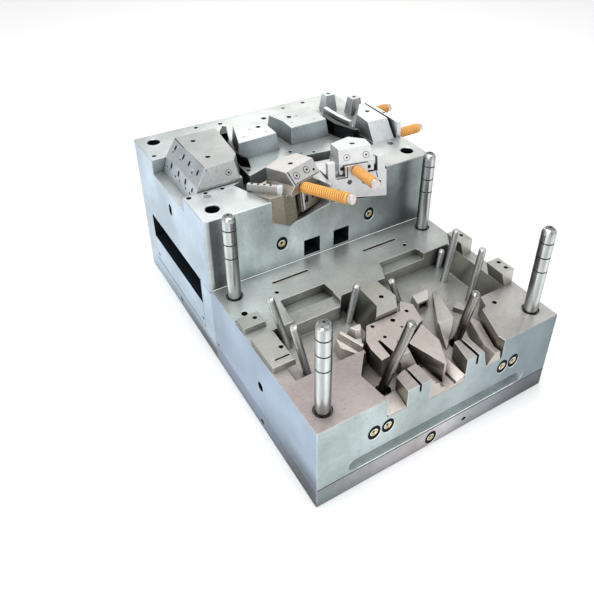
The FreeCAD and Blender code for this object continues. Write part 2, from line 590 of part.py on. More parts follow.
# Heel blocks
left_heels = []
for y0, y1, hole_y in ((62, 100, 91), (-62, 32, -18)):
    heel = tapered([("-%s + 2" % HALF_W, y0), (-247, y0), (-247, y1), ("-%s + 2" % HALF_W, y1)], TOP_FIXED,
                    [("-%s + 3" % HALF_W, y0 + 1), (-249, y0 + 1), (-249, y1 - 1), ("-%s + 3" % HALF_W, y1 - 1)], TOP_FIXED + " + 14", "left_heel")
    holes = [hole_z(-256 if y0 < 0 else -262, hole_y if y0 < 0 else 84, TOP_FIXED + " + 14", 5, 16)]
    if y0 < 0:
        holes.append(box(-284, -252, -46, -42, TOP_FIXED + " + 4", TOP_FIXED + " + 15", "heel_slot"))
    left_heels.append(cut(heel, holes, "left_heel"))
deliver(group(left_heels, "left_heel_blocks"), "left_heel_blocks")
right_heels = []
for y0, y1, holes_y in ((-98, -48, (-84, -62)), (36, 86, (62,))):
    heel = prism([(256, y0), (292, y0), (292, y1), (256, y1)], TOP_FIXED, 40, "right_heel")
    lean_cut = prism([(255, TOP_FIXED + " - 1"), (270, TOP_FIXED + " - 1"), (255, TOP_FIXED + " + 42")], "-(%d)" % (y1 + 1), y1 - y0 + 2, "heel_lean", "XZ_Plane")
    holes = [lean_cut] + [hole_z(280, hy, TOP_FIXED + " + 40", 5, 20) for hy in holes_y]
    right_heels.append(cut(heel, holes, "right_heel"))
deliver(group(right_heels, "right_heel_blocks"), "right_heel_blocks")

# Couplings and clamp screws of the fixed half
deliver(group([coupling(x, z, FRONT, 1) for x, z in ((-174, 136), (-142, 136), (154, 133), (185, 134), (-24, 23))], "fixed_couplings"), "fixed_couplings")
deliver(group([cap_screw(sx * CLAMP_X, sy * CLAMP_Y, 0, FIXED_SCREW) for sx, sy in CORNERS], "fixed_clamp_screws"), "fixed_clamp_screws")

# Moving clamp plate

plate = block("-" + HALF_W, HALF_W, "-" + HALF_L, HALF_L, 0, "Sizes.moving_clamp_h", "moving_clamp")
SUPPORTS = [(-150, -60), (150, -60), (-150, 60), (150, 60)]
KNOCK_R = 21
SCREW_Y = "(%s - Sizes.spacer_l / 2)" % HALF_L
tools = [screw_hole(sx * CLAMP_X, "%d * %s" % (sy, SCREW_Y), 0, MOVING_SCREW) for sx, sy in CORNERS]
tools += [cylinder(0, 0, -1, KNOCK_R, 60, None, "knock_out"),
          cylinder("-%s - 1" % HALF_W, 0, 20, 8, 31, ALONG_X, "side_hole"),
          cylinder("%s - 30" % HALF_W, 0, 20, 8, 31, ALONG_X, "side_hole")]
deliver(cut(plate, tools, "moving_clamp_plate"), "moving_clamp_plate", "moving")

# Spacer blocks

for name, sy in (("spacer_block_front", -1), ("spacer_block_rear", 1)):
    y_out, y_in = "%d * (%s)" % (sy, HALF_L), "%d * (%s - Sizes.spacer_l)" % (sy, HALF_L)
    y0, y1 = (y_out, y_in) if sy < 0 else (y_in, y_out)
    bar = block("-" + HALF_W, HALF_W, y0, y1, "Sizes.moving_clamp_h", "Sizes.spacer_h", "spacer")
    holes = [cylinder(sx * CLAMP_X, "%d * %s" % (sy, SCREW_Y), 40, "Sizes.screw_r", "Sizes.spacer_h + 20", None, "screw_way") for sx in (-1, 1)]
    z0 = "Sizes.moving_clamp_h + 4"
    low_y = y_out + (" - 1" if sy < 0 else " - Sizes.groove_depth")
    high_y = y_out + (" + Sizes.groove_depth" if sy < 0 else " + 1")
    holes.append(box("-Sizes.groove_half", "Sizes.groove_half", low_y, high_y, z0, z0 + " + Sizes.groove_h", "clamp_groove"))
    deliver(cut(bar, holes, name), name, "moving")

# Core plate

CC = "Sizes.corner_cut"
plate = eased([("-" + HALF_W, HALF_L), ("-" + HALF_W, FRONT + " + " + CC), ("-%s + %s" % (HALF_W, CC), FRONT),
               ("%s - %s" % (HALF_W, CC), FRONT), (HALF_W, FRONT + " + " + CC), (HALF_W, HALF_L)], CORE_Z, "Sizes.core_h", "core_plate")
SLIDE_Z = TOP_MOVING + " - Sizes.slide_floor"
UP = TOP_MOVING + " + 1"
LEFT_Y0, LEFT_Y1 = -108, 91
LEFT_X0, LEFT_X1 = "-" + HALF_W + " - 1", -130
RIGHT_Y0, RIGHT_Y1 = "-(%s - 113)" % HALF_L, 34
RIGHT_X0 = 192
tools = [box(LEFT_X0, LEFT_X1, LEFT_Y0, LEFT_Y1, SLIDE_Z, UP, "left_slide_pocket"),
         box(RIGHT_X0, HALF_W + " + 1", RIGHT_Y0, RIGHT_Y1, SLIDE_Z, UP, "right_slide_pocket")]
EJECTORS = [(-90, 10), (-60, 40), (-30, 8), (50, 20), (80, 50), (110, 10), (-20, -60), (30, -60)]
RETURN_Y = "(%s - Sizes.spacer_l - Sizes.return_inset)" % HALF_L
RETURNS = [(-250, "-" + RETURN_Y), (250, "-" + RETURN_Y), (-196, RETURN_Y), (196, RETURN_Y)]
for x, y in EJECTORS:
    tools.append(cylinder(x, y, CORE_Z + " - 1", "Sizes.ejector_pin_r + Sizes.pin_room", "Sizes.core_h + 60", None, "ejector_way"))
for x, y in RETURNS:
    tools.append(cylinder(x, y, CORE_Z + " - 1", "Sizes.return_pin_r + Sizes.pin_room", "Sizes.core_h + 60", None, "return_way"))
for sx, sy in CORNERS:
    x, y = corner_x(sx), corner_y(sy)
    tools.append(cylinder(x, y, TOP_MOVING + " - Sizes.bush_len", "Sizes.bush_r", "Sizes.bush_len + 1", None, "bush_seat"))
    tools.append(cylinder(x, y, CORE_Z + " - 1", "Sizes.pillar_r + 2", "Sizes.core_h", None, "pillar_way"))
    tools.append(cylinder(sx * CLAMP_X, "%d * %s" % (sy, SCREW_Y), CORE_Z + " - 1", "Sizes.screw_r", THREAD_DEEP + " + 1", None, "thread"))
MOVING_HOLES = ((-118, 272), (124, 272))
WINDOWS = (-60, 22)
tools += [coupling_seat(x, z, FRONT, 1) for x, z in MOVING_HOLES]
tools += [box(x, x + 44, FRONT + " - 1", FRONT + " + 60", CORE_Z + " + 14", CORE_Z + " + 58", "front_window") for x in WINDOWS]
for side in (-1, 1):
    start = "-%s - 1" % HALF_W if side < 0 else "%s - 30" % HALF_W
    tools.append(join([cylinder(start, -8, 298, LIFT_R - 2, 31, ALONG_X, "eye"),
                       cylinder(start, -8, 310, LIFT_R - 2, 31, ALONG_X, "eye"),
                       box(start, start + " + 31", -17, 1, 298, 310, "eye")]))
for x, y, r in ((-286, 111, 5.5), (-288, -116, 6), (-248, -115, 5), (-208, -116, 5), (-137, 207, 5.5), (44, 167, 7), (189, 205, 6), (122, 200, 5),
                (-72, 196, 6), (60, -70, 4), (10, -40, 5), (-120, -70, 5)):
    tools.append(hole_z(x, y, TOP_MOVING, r, 22))


# Front slides, each in its own frame: X across, Y inward, Z up from the reference point

def front_turn(azimuth):
    return Rotation(Vector(0, 0, 1), value_of(azimuth)) * Rotation(Vector(1, 0, 0), -value_of("Sizes.front_rise"))


def stand(item, base_x, azimuth, shift=PITCH):
    """Set a piece of a front slide in the mould's frame."""
    item.Placement = Placement(Vector(), front_turn(azimuth))
    return put(item, base_x, "%s - %s" % (shift, HALF_L), TOP_MOVING + " - Sizes.front_drop")


LEFT = ("Sizes.left_base_x", "Sizes.left_azimuth")
RIGHT = ("Sizes.right_base_x", "Sizes.right_azimuth")
# Cross sections across the travel: a shallow V below, open above
LEFT_SECTION = [(-66.5, 110), (-66.5, 29.5), (-29, 6), (74, 25), (74, 110)]
RIGHT_SECTION = [(-76, 110), (-76, 27), (78, 4), (78, 110)]


def inset(points, room):
    """The same section drawn in by the sliding room on its sides and below."""
    middle = sum(p[0] for p in points) / len(points)
    return [("%s %s %s" % (x, "+" if x < middle else "-", room), "%s + %s" % (z, room)) for x, z in points]


POCKET_BACK, POCKET_FRONT = 128, 70
for section, (base_x, azimuth) in ((LEFT_SECTION, LEFT), (RIGHT_SECTION, RIGHT)):
    pocket = prism(section, -POCKET_BACK, POCKET_BACK + POCKET_FRONT, "front_pocket", "XZ_Plane")
    tools.append(stand(pocket, base_x, azimuth, "0"))
deliver(cut(plate, tools, "core_plate"), "core_plate", "moving")

# Front left slide
ROOM = "Sizes.slot_wall"


def section_bar(section, y0, y1, top, stem):
    """Carrier that fills a pocket section from y0 to y1, up to the given height."""
    points = inset(section, ROOM)
    points[0] = (points[0][0], top)
    points[-1] = (points[-1][0], top)
    return prism(points, -y1, y1 - y0, stem, "XZ_Plane")


ROD_Z = 88
L_ROD_X, R_ROD_X = 17, -2
CARRIER_TOP = 90
NOSE_Z = 103
bar = section_bar(LEFT_SECTION, 4, 90, CARRIER_TOP, "left_carrier")
nose = tapered([(-37, -14), (71, -15), (73, 70), (-12, 80)], CARRIER_TOP - 6, [(-14, -12), (70, -15), (73, 70), (-10, 76)], NOSE_Z, "nose")
nose_top = tapered([(-14, -11), (70, -15), (82, 68), (33, 84), (-11, 74)], NOSE_Z,
                   [(-14, 10), (76, 8), (82, 61), (35, 80), (-12, 72)], NOSE_Z + 29, "nose_top")
corner = prism([(-80, 24), (-66, 17), (-29, -1), (-29, -30), (-80, -30)], -10, 140, "corner_cut")
stop_room = box(-1, 80, -30, 10.5, -20, NOSE_Z - 0.1, "stop_room")
bore = cylinder(30, 34, 90, 6, 60, None, "pin_hole")
bolts = [cylinder(x, -4, NOSE_Z + 9, 4, 14, ALONG_Y, "face_hole") for x in (2, 32, 54)]
body = cut(join([bar, nose]), [corner, stop_room], "front_left_slide")
deliver(stand(cut(body, [cylinder(L_ROD_X, -60, ROD_Z, "Sizes.rod_r", 110, ALONG_Y, "rod_seat"),
                         cylinder(-50, 50, 70, 4.5, 30, None, "wing_hole")], "front_left_slide"), *LEFT), "front_left_slide")
deliver(stand(cut(nose_top, [bore] + bolts, "front_left_slide_insert"), *LEFT), "front_left_slide_insert")

R_NOSE_Z = 105
bar = section_bar(RIGHT_SECTION, 14, 100, CARRIER_TOP - 2, "right_carrier")
nose_plan = [(-41, 10), (45, 2), (56, 62), (-36, 76)]
nose = tapered(nose_plan, CARRIER_TOP - 10, nose_plan, R_NOSE_Z, "nose")
nose_top = tapered([(-41, 9), (45, 1), (55, 60), (24, 96), (-36, 72)], R_NOSE_Z,
                   [(-37, 20), (44, 15), (51, 57), (22, 92), (-35, 68)], R_NOSE_Z + 34, "nose_top")
body = cut(join([bar, nose]), [box(-32, 30, -10, 12.5, -20, R_NOSE_Z - 2, "stop_room")], "front_right_slide")
deliver(stand(cut(body, [cylinder(R_ROD_X, -60, ROD_Z, "Sizes.rod_r", 110, ALONG_Y, "rod_seat")]
                  + [cylinder(x, 12, 66, 5, 20, ALONG_Y, "face_hole") for x in (-40, 44)], "front_right_slide"), *RIGHT), "front_right_slide")
deliver(stand(cut(nose_top, [cylinder(10, 44, 90, 6.5, 60, None, "pin_hole")]
                  + [cylinder(x, 8, R_NOSE_Z + 14, 5, 14, ALONG_Y, "face_hole") for x in (-22, 26)], "front_right_slide_insert"), *RIGHT), "front_right_slide_insert")

# Stop plates that the spring rods pass through
PLATE_T = 12
left_stop = prism([(9, 27), (73.8, 27), (73.8, 80), (46, 101.5), (9, 101.5)], 4 - PLATE_T, PLATE_T, "left_stop", "XZ_Plane")
deliver(stand(cut(left_stop, [cylinder(L_ROD_X, -60, ROD_Z, "Sizes.rod_r + Sizes.rod_room", 110, ALONG_Y, "rod_way")]
                  + [cylinder(x, -5, 48, 4, 8, ALONG_Y, "stop_hole") for x in (22, 50)], "front_left_stop_plate"), *LEFT), "front_left_stop_plate")
right_stop = join([prism([(-75.5, 30), (77.5, 7), (77.5, 76), (-75.5, 78)], -PLATE_T, PLATE_T, "right_stop", "XZ_Plane"),
                   box(-30, 28, 0, PLATE_T, 70, 102, "stop_ear"),
                   box(54, 74, 0, PLATE_T, 70, 112, "right_gib"),
                   box(-74, -56, 0, PLATE_T, 70, 118, "left_gib")])
deliver(stand(cut(right_stop, [cylinder(R_ROD_X, -60, ROD_Z, "Sizes.rod_r + Sizes.rod_room", 110, ALONG_Y, "rod_way")]
                  + [cylinder(x, -1, 46, 5, 8, ALONG_Y, "stop_hole") for x in (-52, 58)], "front_right_stop_plate"), *RIGHT), "front_right_stop_plate")

# Spring rods with their caps
L_SPRING, R_SPRING = 132, 88


def rod_with_cap(x, y_face, free, anchor):
    """Rod along Y from anchor inside the slide out through the spring, with a cap outside it."""
    start = "%s - (%s) - Sizes.cap_h" % (y_face, free)
    return join([
        cylinder(x, start, ROD_Z, "Sizes.rod_r", "%s - (%s)" % (anchor, start), ALONG_Y, "rod"),
        cylinder(x, start, ROD_Z, "Sizes.cap_r", "Sizes.cap_h", ALONG_Y, "rod_cap"),
    ])


SPRING_END = 0.3
deliver(stand(rod_with_cap(L_ROD_X, -4 - SPRING_END, L_SPRING + SPRING_END, 50), *LEFT), "front_left_rod")
deliver(stand(rod_with_cap(R_ROD_X, -SPRING_END, R_SPRING + SPRING_END, 50), *RIGHT), "front_right_rod")


def coil(length, turns, stem="spring"):
    """Die spring of square wire along Z, standing on the origin."""
    wire = "Sizes.spring_wire"
    helix = new("Part::Helix", stem + "_helix")
    pitch = "((%s) - %s) / %s" % (length, wire, turns)
    helix.setExpression("Pitch", pitch)
    helix.setExpression("Height", "(%s) - %s" % (length, wire))
    helix.setExpression("Radius", "Sizes.spring_r - %s / 2" % wire)
    helix.setExpression("Placement.Base.z", wire + " / 2")
    section = doc.addObject("Sketcher::SketchObject", "%s_section_%d" % (stem, counter["n"]))
    section.Placement = Placement(Vector(), Rotation(Vector(1, 0, 0), 90))
    r0, r1 = value_of("Sizes.spring_r - Sizes.spring_wire"), value_of("Sizes.spring_r")
    w = value_of(wire)
    z0, z1 = w * 0.08, w * 0.92
    corners = [(r0, z0), (r1, z0), (r1, z1), (r0, z1)]
    for i in range(4):
        a, b = corners[i], corners[(i + 1) % 4]
        section.addGeometry(Part.LineSegment(Vector(a[0], a[1], 0), Vector(b[0], b[1], 0)), False)
    for i in range(4):
        section.addConstraint(Sketcher.Constraint("Coincident", i, 2, (i + 1) % 4, 1))
    rows = ((0, "DistanceX", "Sizes.spring_r - Sizes.spring_wire", r0), (0, "DistanceY", wire + " * 0.08", z0),
            (2, "DistanceX", "Sizes.spring_r", r1), (2, "DistanceY", wire + " * 0.92", z1))
    for point, kind, text, number in rows:
        row = section.addConstraint(Sketcher.Constraint(kind, -1, 1, point, 1, number))
        section.setExpression("Constraints[%d]" % row, text)
    for line, kind in ((0, "Horizontal"), (1, "Vertical"), (2, "Horizontal"), (3, "Vertical")):
        section.addConstraint(Sketcher.Constraint(kind, line))
    sweep = new("Part::Sweep", stem)
    sweep.Sections = [section]
    sweep.Spine = (helix, ["Edge1"])
    sweep.Solid = True
    sweep.Frenet = True
    return sweep


def spring_on_y(x, y_face, length, turns, base):
    """Spring lying along the travel of a front slide, its fixed end on the stop plate."""
    item = coil(length, turns)
    item.Placement = Placement(Vector(), Rotation(Vector(1, 0, 0), 90))
    put(item, x, y_face, ROD_Z)
    return stand(group([item], "spring"), *base)


deliver(spring_on_y(L_ROD_X, -4 - SPRING_END, L_SPRING - SPRING_END, 12, LEFT), "front_left_spring")
deliver(spring_on_y(R_ROD_X, -SPRING_END, R_SPRING - SPRING_END, 8, RIGHT), "front_right_spring")

# Left slide

SEAT = SLIDE_Z + " + Sizes.slide_seat"
SEAM = TOP_MOVING + " + 7"
L0 = "%d + %s" % (LEFT_Y0, ROOM)
L1 = "%d - %s" % (LEFT_Y1, ROOM)
carrier = tapered([(-275, L0), (-152, L0), (-152, L1), (-275, L1)], SEAT, [(-262, -104), (-152, -104), (-152, 88), (-262, 88)], SEAM, "left_slide")
holes = [cylinder(-281, y, 372, 3.5, 40, ALONG_X, "side_screw_hole") for y in (-70, -44, -6, 20, 58, 74)]
deliver(cut(carrier, [join(holes)], "left_slide"), "left_slide", "moving")
insert = tapered([(-262, -104), (-158, -104), (-142, -66), (-136, 12), (-130, 88), (-262, 88)], SEAM,
                 [(-238, -94), (-163, -88), (-146, -62), (-139, 12), (-132, 84), (-236, 86)], TOP_MOVING + " + 48", "left_insert")
holes = [hole_z(x, y, TOP_MOVING + " + 48", 6, 30) for x, y in ((-206, 47), (-208, -45))]
holes += [hole_z(x, y, TOP_MOVING + " + 34", 4.5, 14) for x, y in ((-252, 66), (-252, 20), (-252, -52))]
deliver(cut(insert, holes, "left_slide_insert"), "left_slide_insert", "moving")

# Right slide

R_BACK = 278
R_IN = R_BACK - 66
carrier = prism([(R_IN, "%s + %s" % (RIGHT_Y0, ROOM)), (R_BACK, "%s + %s" % (RIGHT_Y0, ROOM)),
                 (R_BACK, "%d - %s" % (RIGHT_Y1, ROOM)), (R_IN, "%d - %s" % (RIGHT_Y1, ROOM))],
                SEAT, "Sizes.slide_floor", "right_slide")
ROD_IN = R_BACK - 38
S4_Y, S3_Y = RIGHT_Y0 + " + 20", 10
S4_Z, S3_Z = TOP_MOVING + " - 2", TOP_MOVING + " + 22"
S_PLACES = ((S4_Y, S4_Z), (S3_Y, S3_Z))
R_TOP = TOP_MOVING + " + 45"
rod_seats = [cylinder(ROD_IN, y, z, "Sizes.rod_r", 60, ALONG_X, "rod_seat") for y, z in S_PLACES]
upper = tapered([(R_BACK - 64, RIGHT_Y0 + " + 4"), (R_BACK, RIGHT_Y0 + " + 4"), (R_BACK, 30), (ROD_IN, 30), (R_BACK - 64, -20)],
                SEAT + " + Sizes.slide_floor",
                [(R_BACK - 62, RIGHT_Y0 + " + 36"), (R_BACK - 4, RIGHT_Y0 + " + 32"), (R_BACK - 2, 28), (R_BACK - 16, 28),
                 (R_BACK - 58, -24)], R_TOP, "right_insert")
deliver(cut(carrier, rod_seats, "right_slide"), "right_slide", "moving")
deliver(cut(upper, [cylinder(ROD_IN, y, z, "Sizes.rod_r", 60, ALONG_X, "rod_seat") for y, z in S_PLACES]
            + [hole_z(R_BACK - 24, -20, R_TOP, 6, 30)], "right_slide_insert"), "right_slide_insert", "moving")
R_STOP_X0 = R_BACK + 6
R_STOP_X1 = R_STOP_X0 + 12
R_STOP_TOP = TOP_MOVING + " + 42"
stop = box(R_STOP_X0, R_STOP_X1, RIGHT_Y0, RIGHT_Y1, SLIDE_Z, R_STOP_TOP, "right_stop")
deliver(cut(stop, [cylinder(R_STOP_X0 - 5, y, z, "Sizes.rod_r + Sizes.rod_room", 30, ALONG_X, "rod_way") for y, z in S_PLACES]
            + [hole_z(R_STOP_X0 + 6, -44, R_STOP_TOP, 3.5, 20)], "right_stop_plate"), "right_stop_plate", "moving")
S4_LEN, S3_LEN = 72, 44
rods, springs = [], []
for y, z, free, turns in ((S4_Y, S4_Z, S4_LEN, 7), (S3_Y, S3_Z, S3_LEN, 4)):
    end = R_STOP_X1 + 2 * SPRING_END + free
    rods.append(join([cylinder(ROD_IN, y, z, "Sizes.rod_r", "%s + Sizes.cap_h - %s" % (end, ROD_IN), ALONG_X, "rod"),
                      cylinder(end, y, z, "Sizes.cap_r", "Sizes.cap_h", ALONG_X, "rod_cap")]))
    item = coil(free, turns)
    item.Placement = Placement(Vector(), ALONG_X)
    springs.append(put(item, R_STOP_X1 + SPRING_END, y, z))
deliver(group(rods, "right_rods"), "right_rods", "moving")
deliver(group(springs, "right_springs"), "right_springs", "moving")

# Core blocks and curved cores on the moving half

LIFT = TOP_MOVING + " + 45"
core_left = tapered([(-122, -22), (-6, -17), (-6, 54), (-88, 88)], TOP_MOVING, [(-116, -16), (-12, -11), (-11, 48), (-86, 81)], LIFT, "core_left")
ways = [cylinder(x, y, TOP_MOVING + " - 1", "Sizes.ejector_pin_r + Sizes.pin_room", 60, None, "way") for x, y in EJECTORS[:3]]
deliver(cut(core_left, ways + [hole_z(-35, 42, LIFT, 6, 24)], "core_block_left"), "core_block_left", "moving")
core_right = tapered([(30, -14), (140, -14), (144, 88), (14, 92), (26, 40)], TOP_MOVING, [(33, -6), (135, -6), (140, 84), (20, 88), (34, 40)], LIFT, "core_right")
ways = [cylinder(x, y, TOP_MOVING + " - 1", "Sizes.ejector_pin_r + Sizes.pin_room", 60, None, "way") for x, y in EJECTORS[3:6]]
deliver(cut(core_right, ways + [hole_z(60, 54, LIFT, 6.5, 24)], "core_block_right"), "core_block_right", "moving")

left_black = tapered([(-104, 110), (-126, 84), (-128, 62), (-106, 60), (-100, 86), (-92, 96)], TOP_MOVING,
                     [(-104, 106), (-122, 82), (-124, 66), (-110, 64), (-103, 84), (-96, 98)], TOP_MOVING + " + 38", "curved_left")
left_low = tapered([(-128, 61), (-129, 20), (-127, -44), (-110, -64), (-124, -24), (-118, 20), (-107, 59)], TOP_MOVING,
                   [(-125, 60), (-126, 20), (-124, -42), (-113, -56), (-123, -24), (-120, 20), (-112, 58)], TOP_MOVING + " + 24", "curved_left")
deliver(join([left_black, left_low], "curved_core_left"), "curved_core_left", "moving")
right_black = tapered([(146, 40), (150, -20), (172, -78), (190, -88), (190, -70), (176, -44), (170, -8), (168, 44)], TOP_MOVING,
                      [(149, 38), (153, -20), (174, -74), (187, -82), (187, -72), (173, -46), (166, -8), (164, 40)], TOP_MOVING + " + 34", "curved_right")
deliver(right_black, "curved_core_right", "moving")
bar = prism([(172, 66), (176, 0), (184, -40), (192, -40), (186, 2), (184, 70)], TOP_MOVING, 40, "gib_bar")
deliver(bar, "core_bar", "moving")

# Rear bosses
bosses = []
for x, y in ((229, 132), (278, 77)):
    boss = tapered([(x - 20, y - 18), (x + 18, y - 18), (x + 18, y + 16), (x - 20, y + 16)], TOP_MOVING,
                   [(x - 14, y - 13), (x + 13, y - 13), (x + 13, y + 12), (x - 14, y + 12)], LIFT, "boss")
    bosses.append(cut(boss, [hole_z(x, y, LIFT, 5, 20)], "rear_boss"))
deliver(group(bosses, "rear_bosses"), "rear_bosses", "moving")

# Guide bushes
bushes = []
for sx, sy in CORNERS:
    tube = turned([("Sizes.bush_bore", 2), ("Sizes.bush_bore + 2", 0), ("Sizes.bush_r - 0.02", 0), ("Sizes.bush_r - 0.02", "Sizes.bush_len"),
                   ("Sizes.bush_bore + 2", "Sizes.bush_len"), ("Sizes.bush_bore", "Sizes.bush_len - 2")], "bush")
    bushes.append(put(tube, corner_x(sx), corner_y(sy), TOP_MOVING + " - Sizes.bush_len"))
deliver(group(bushes, "guide_bushes"), "guide_bushes", "moving")

# Couplings, screws, supports and stop buttons of the moving half
deliver(group([coupling(x, z, FRONT, 1) for x, z in MOVING_HOLES], "moving_couplings"), "moving_couplings", "moving")
deliver(group([cap_screw(sx * CLAMP_X, "%d * %s" % (sy, SCREW_Y), 0, MOVING_SCREW) for sx, sy in CORNERS], "moving_clamp_screws"), "moving_clamp_screws", "moving")
deliver(group([cylinder(x, y, "Sizes.moving_clamp_h", "Sizes.support_r", "Sizes.spacer_h", None, "support") for x, y in SUPPORTS], "support_pillars"), "support_pillars", "moving")
BUTTONS = [(x, y) for x in (-260, 0, 260) for y in (-120, 120)]
deliver(group([cylinder(x, y, "Sizes.moving_clamp_h", "Sizes.stop_r", "Sizes.stop_h - Sizes.stop_room", None, "button") for x, y in BUTTONS], "stop_buttons"), "stop_buttons", "moving")

# Ejector plates and pins

EY = "%s - Sizes.spacer_l - Sizes.ejector_room" % HALF_L
EZ0 = "Sizes.moving_clamp_h + Sizes.stop_h"
EZ1 = EZ0 + " + Sizes.ejector_base_h"
EZ2 = EZ1 + " + Sizes.ejector_retainer_h"
HEAD_H, HEAD_EXTRA = 6, 4


def plate_ways(z0, length):
    return [cylinder(x, y, z0, "Sizes.support_r + 1", length, None, "support_way") for x, y in SUPPORTS]


base_plate = box("-" + HALF_W, HALF_W, "-(%s)" % EY, EY, EZ0, EZ1, "ejector_base")
E_SCREWS = [(-275, -90), (275, -90), (-275, 90), (275, 90)]
ways = plate_ways(EZ0 + " - 1", 80)
ways += [screw_hole(x, y, EZ0, 62) for x, y in E_SCREWS]
ways += [cylinder("-%s - 1" % HALF_W, y, 74, 5, 31, ALONG_X, "side_hole") for y in (-152, 148)]
deliver(cut(base_plate, ways, "ejector_base_plate"), "ejector_base_plate", "moving")
retainer = box("-" + HALF_W, HALF_W, "-(%s)" % EY, EY, EZ1, EZ2, "ejector_retainer")
ways = plate_ways(EZ1 + " - 1", 80)
ways += [cylinder(x, y, EZ1 + " - 1", "Sizes.screw_r", 24, None, "thread") for x, y in E_SCREWS]
for pins, radius in ((EJECTORS, "Sizes.ejector_pin_r"), (RETURNS, "Sizes.return_pin_r")):
    for x, y in pins:
        ways.append(cylinder(x, y, EZ1 + " - 1", radius, 60, None, "pin_way"))
        ways.append(cylinder(x, y, EZ1 + " - 1", radius + " + %d" % HEAD_EXTRA, HEAD_H + 1, None, "head_seat"))
deliver(cut(retainer, ways, "ejector_retainer_plate"), "ejector_retainer_plate", "moving")


def headed_pin(x, y, radius, top):
    pin = turned([(0, EZ1), (radius + " + %d" % HEAD_EXTRA, EZ1), (radius + " + %d" % HEAD_EXTRA, EZ1 + " + %d" % HEAD_H),
                  (radius, EZ1 + " + %d" % HEAD_H), (radius, top), (0, top)], "headed_pin")
    return put(pin, x, y, 0)


tops = {0: LIFT, 1: LIFT, 2: LIFT, 3: LIFT, 4: LIFT, 5: LIFT, 6: TOP_MOVING, 7: TOP_MOVING}
deliver(group([headed_pin(x, y, "Sizes.ejector_pin_r", tops[i]) for i, (x, y) in enumerate(EJECTORS)], "ejector_pins"), "ejector_pins", "moving")
deliver(group([headed_pin(x, y, "Sizes.return_pin_r", TOP_MOVING) for x, y in RETURNS], "return_pins"), "return_pins", "moving")
deliver(group([cap_screw(x, y, EZ0, 60) for x, y in E_SCREWS], "ejector_screws"), "ejector_screws", "moving")

doc.recompute()

# Check every object and write the pieces

bad = []
for item in doc.Objects:
    if "Invalid" in item.State or "Error" in item.State:
        bad.append("%s %s" % (item.Name, item.State))
for name, item in parts.items():
    shape = item.Shape
    if shape.isNull() or not shape.isValid() or not shape.Solids:
        bad.append("%s has no valid solid" % name)
if bad:
    raise RuntimeError("; ".join(bad))
os.makedirs("parts", exist_ok=True)
for name, item in parts.items():
    item.Shape.exportStep("parts/%s.step" % name)
    bounds = item.Shape.BoundBox
    print("%-26s solids %2d  x %7.1f %7.1f  y %7.1f %7.1f  z %6.1f %6.1f" % (
        name, len(item.Shape.Solids), bounds.XMin, bounds.XMax, bounds.YMin, bounds.YMax, bounds.ZMin, bounds.ZMax))
print(len(parts), "pieces")
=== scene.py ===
import math

import bmesh
import bpy
from mathutils import Matrix, Vector
from mathutils.bvhtree import BVHTree


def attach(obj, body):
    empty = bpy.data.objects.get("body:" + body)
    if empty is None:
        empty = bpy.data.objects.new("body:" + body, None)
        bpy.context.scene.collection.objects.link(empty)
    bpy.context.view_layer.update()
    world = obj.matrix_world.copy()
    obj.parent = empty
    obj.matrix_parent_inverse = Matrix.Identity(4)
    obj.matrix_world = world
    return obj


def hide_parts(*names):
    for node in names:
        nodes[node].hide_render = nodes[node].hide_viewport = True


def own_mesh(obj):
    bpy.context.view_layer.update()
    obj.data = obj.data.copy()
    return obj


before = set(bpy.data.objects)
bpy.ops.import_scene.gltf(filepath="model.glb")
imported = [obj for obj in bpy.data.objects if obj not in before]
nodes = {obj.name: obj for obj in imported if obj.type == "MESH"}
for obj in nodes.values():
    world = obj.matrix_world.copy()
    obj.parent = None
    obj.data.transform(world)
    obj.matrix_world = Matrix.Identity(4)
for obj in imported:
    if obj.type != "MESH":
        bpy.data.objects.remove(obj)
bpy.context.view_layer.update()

scene = bpy.context.scene

# Sizes and places in metres, in the frame's own axes: X to the right, Y to the back, Z up
MM = 0.001
HALF_W = 0.3
HALF_L = 0.225
PITCH = 0.4505
FIXED_FRONT = -HALF_L
MOVING_FRONT = PITCH - HALF_L
CLAMP_Z = 0.050
TOP_Z = 0.210
CORE_Z = 0.200
PILLAR_X = 0.262
PILLAR_Y = 0.183
PILLAR_TOP = 0.422
PILLAR_R = 0.015
SLIDE_BASE_Z = 0.310
SLIDE_CLIMB = -8
PILLARS = [(x, y) for x in (-PILLAR_X, PILLAR_X) for y in (-PILLAR_Y, PILLAR_Y)]
WINDOWS = ((-0.060, -0.016), (0.022, 0.066))
WINDOW_Z = (0.214, 0.258)
WINDOW_DEEP = 0.060
GROOVE_Z = (0.054, 0.085)
GROOVE_DEEP = 0.022
GROOVE_STRAIGHT = 0.205
LIFT_HOLE = (-0.006, 0.124, 0.0125)
EYE_Y = (-0.019, 0.003)
EYE_Z = (0.288, 0.320)
SEAT_R = 0.0136
SEAT_DEEP = 0.018
SKIN = 0.0002

UP = (0, 0, 1)
FORWARD = (0, -1, 0)


# Helpers for material nodes

def link(tree, a, b):
    tree.links.new(a, b)


def feed(tree, given, socket):
    """Put a number or a colour into a socket, or link an output to it."""
    if isinstance(given, (int, float)):
        socket.default_value = given
    elif isinstance(given, tuple):
        socket.default_value = (*given, 1)
    else:
        link(tree, given, socket)


def ramp(tree, stops, source):
    """Colour ramp from (position, grey or colour) stops."""
    item = tree.nodes.new("ShaderNodeValToRGB")
    elements = item.color_ramp.elements
    while len(elements) < len(stops):
        elements.new(0.5)
    for element, (at, shade) in zip(elements, stops):
        element.position = at
        element.color = (shade, shade, shade, 1) if isinstance(shade, (int, float)) else (*shade, 1)
    link(tree, source, item.inputs["Fac"])
    return item.outputs["Color"]


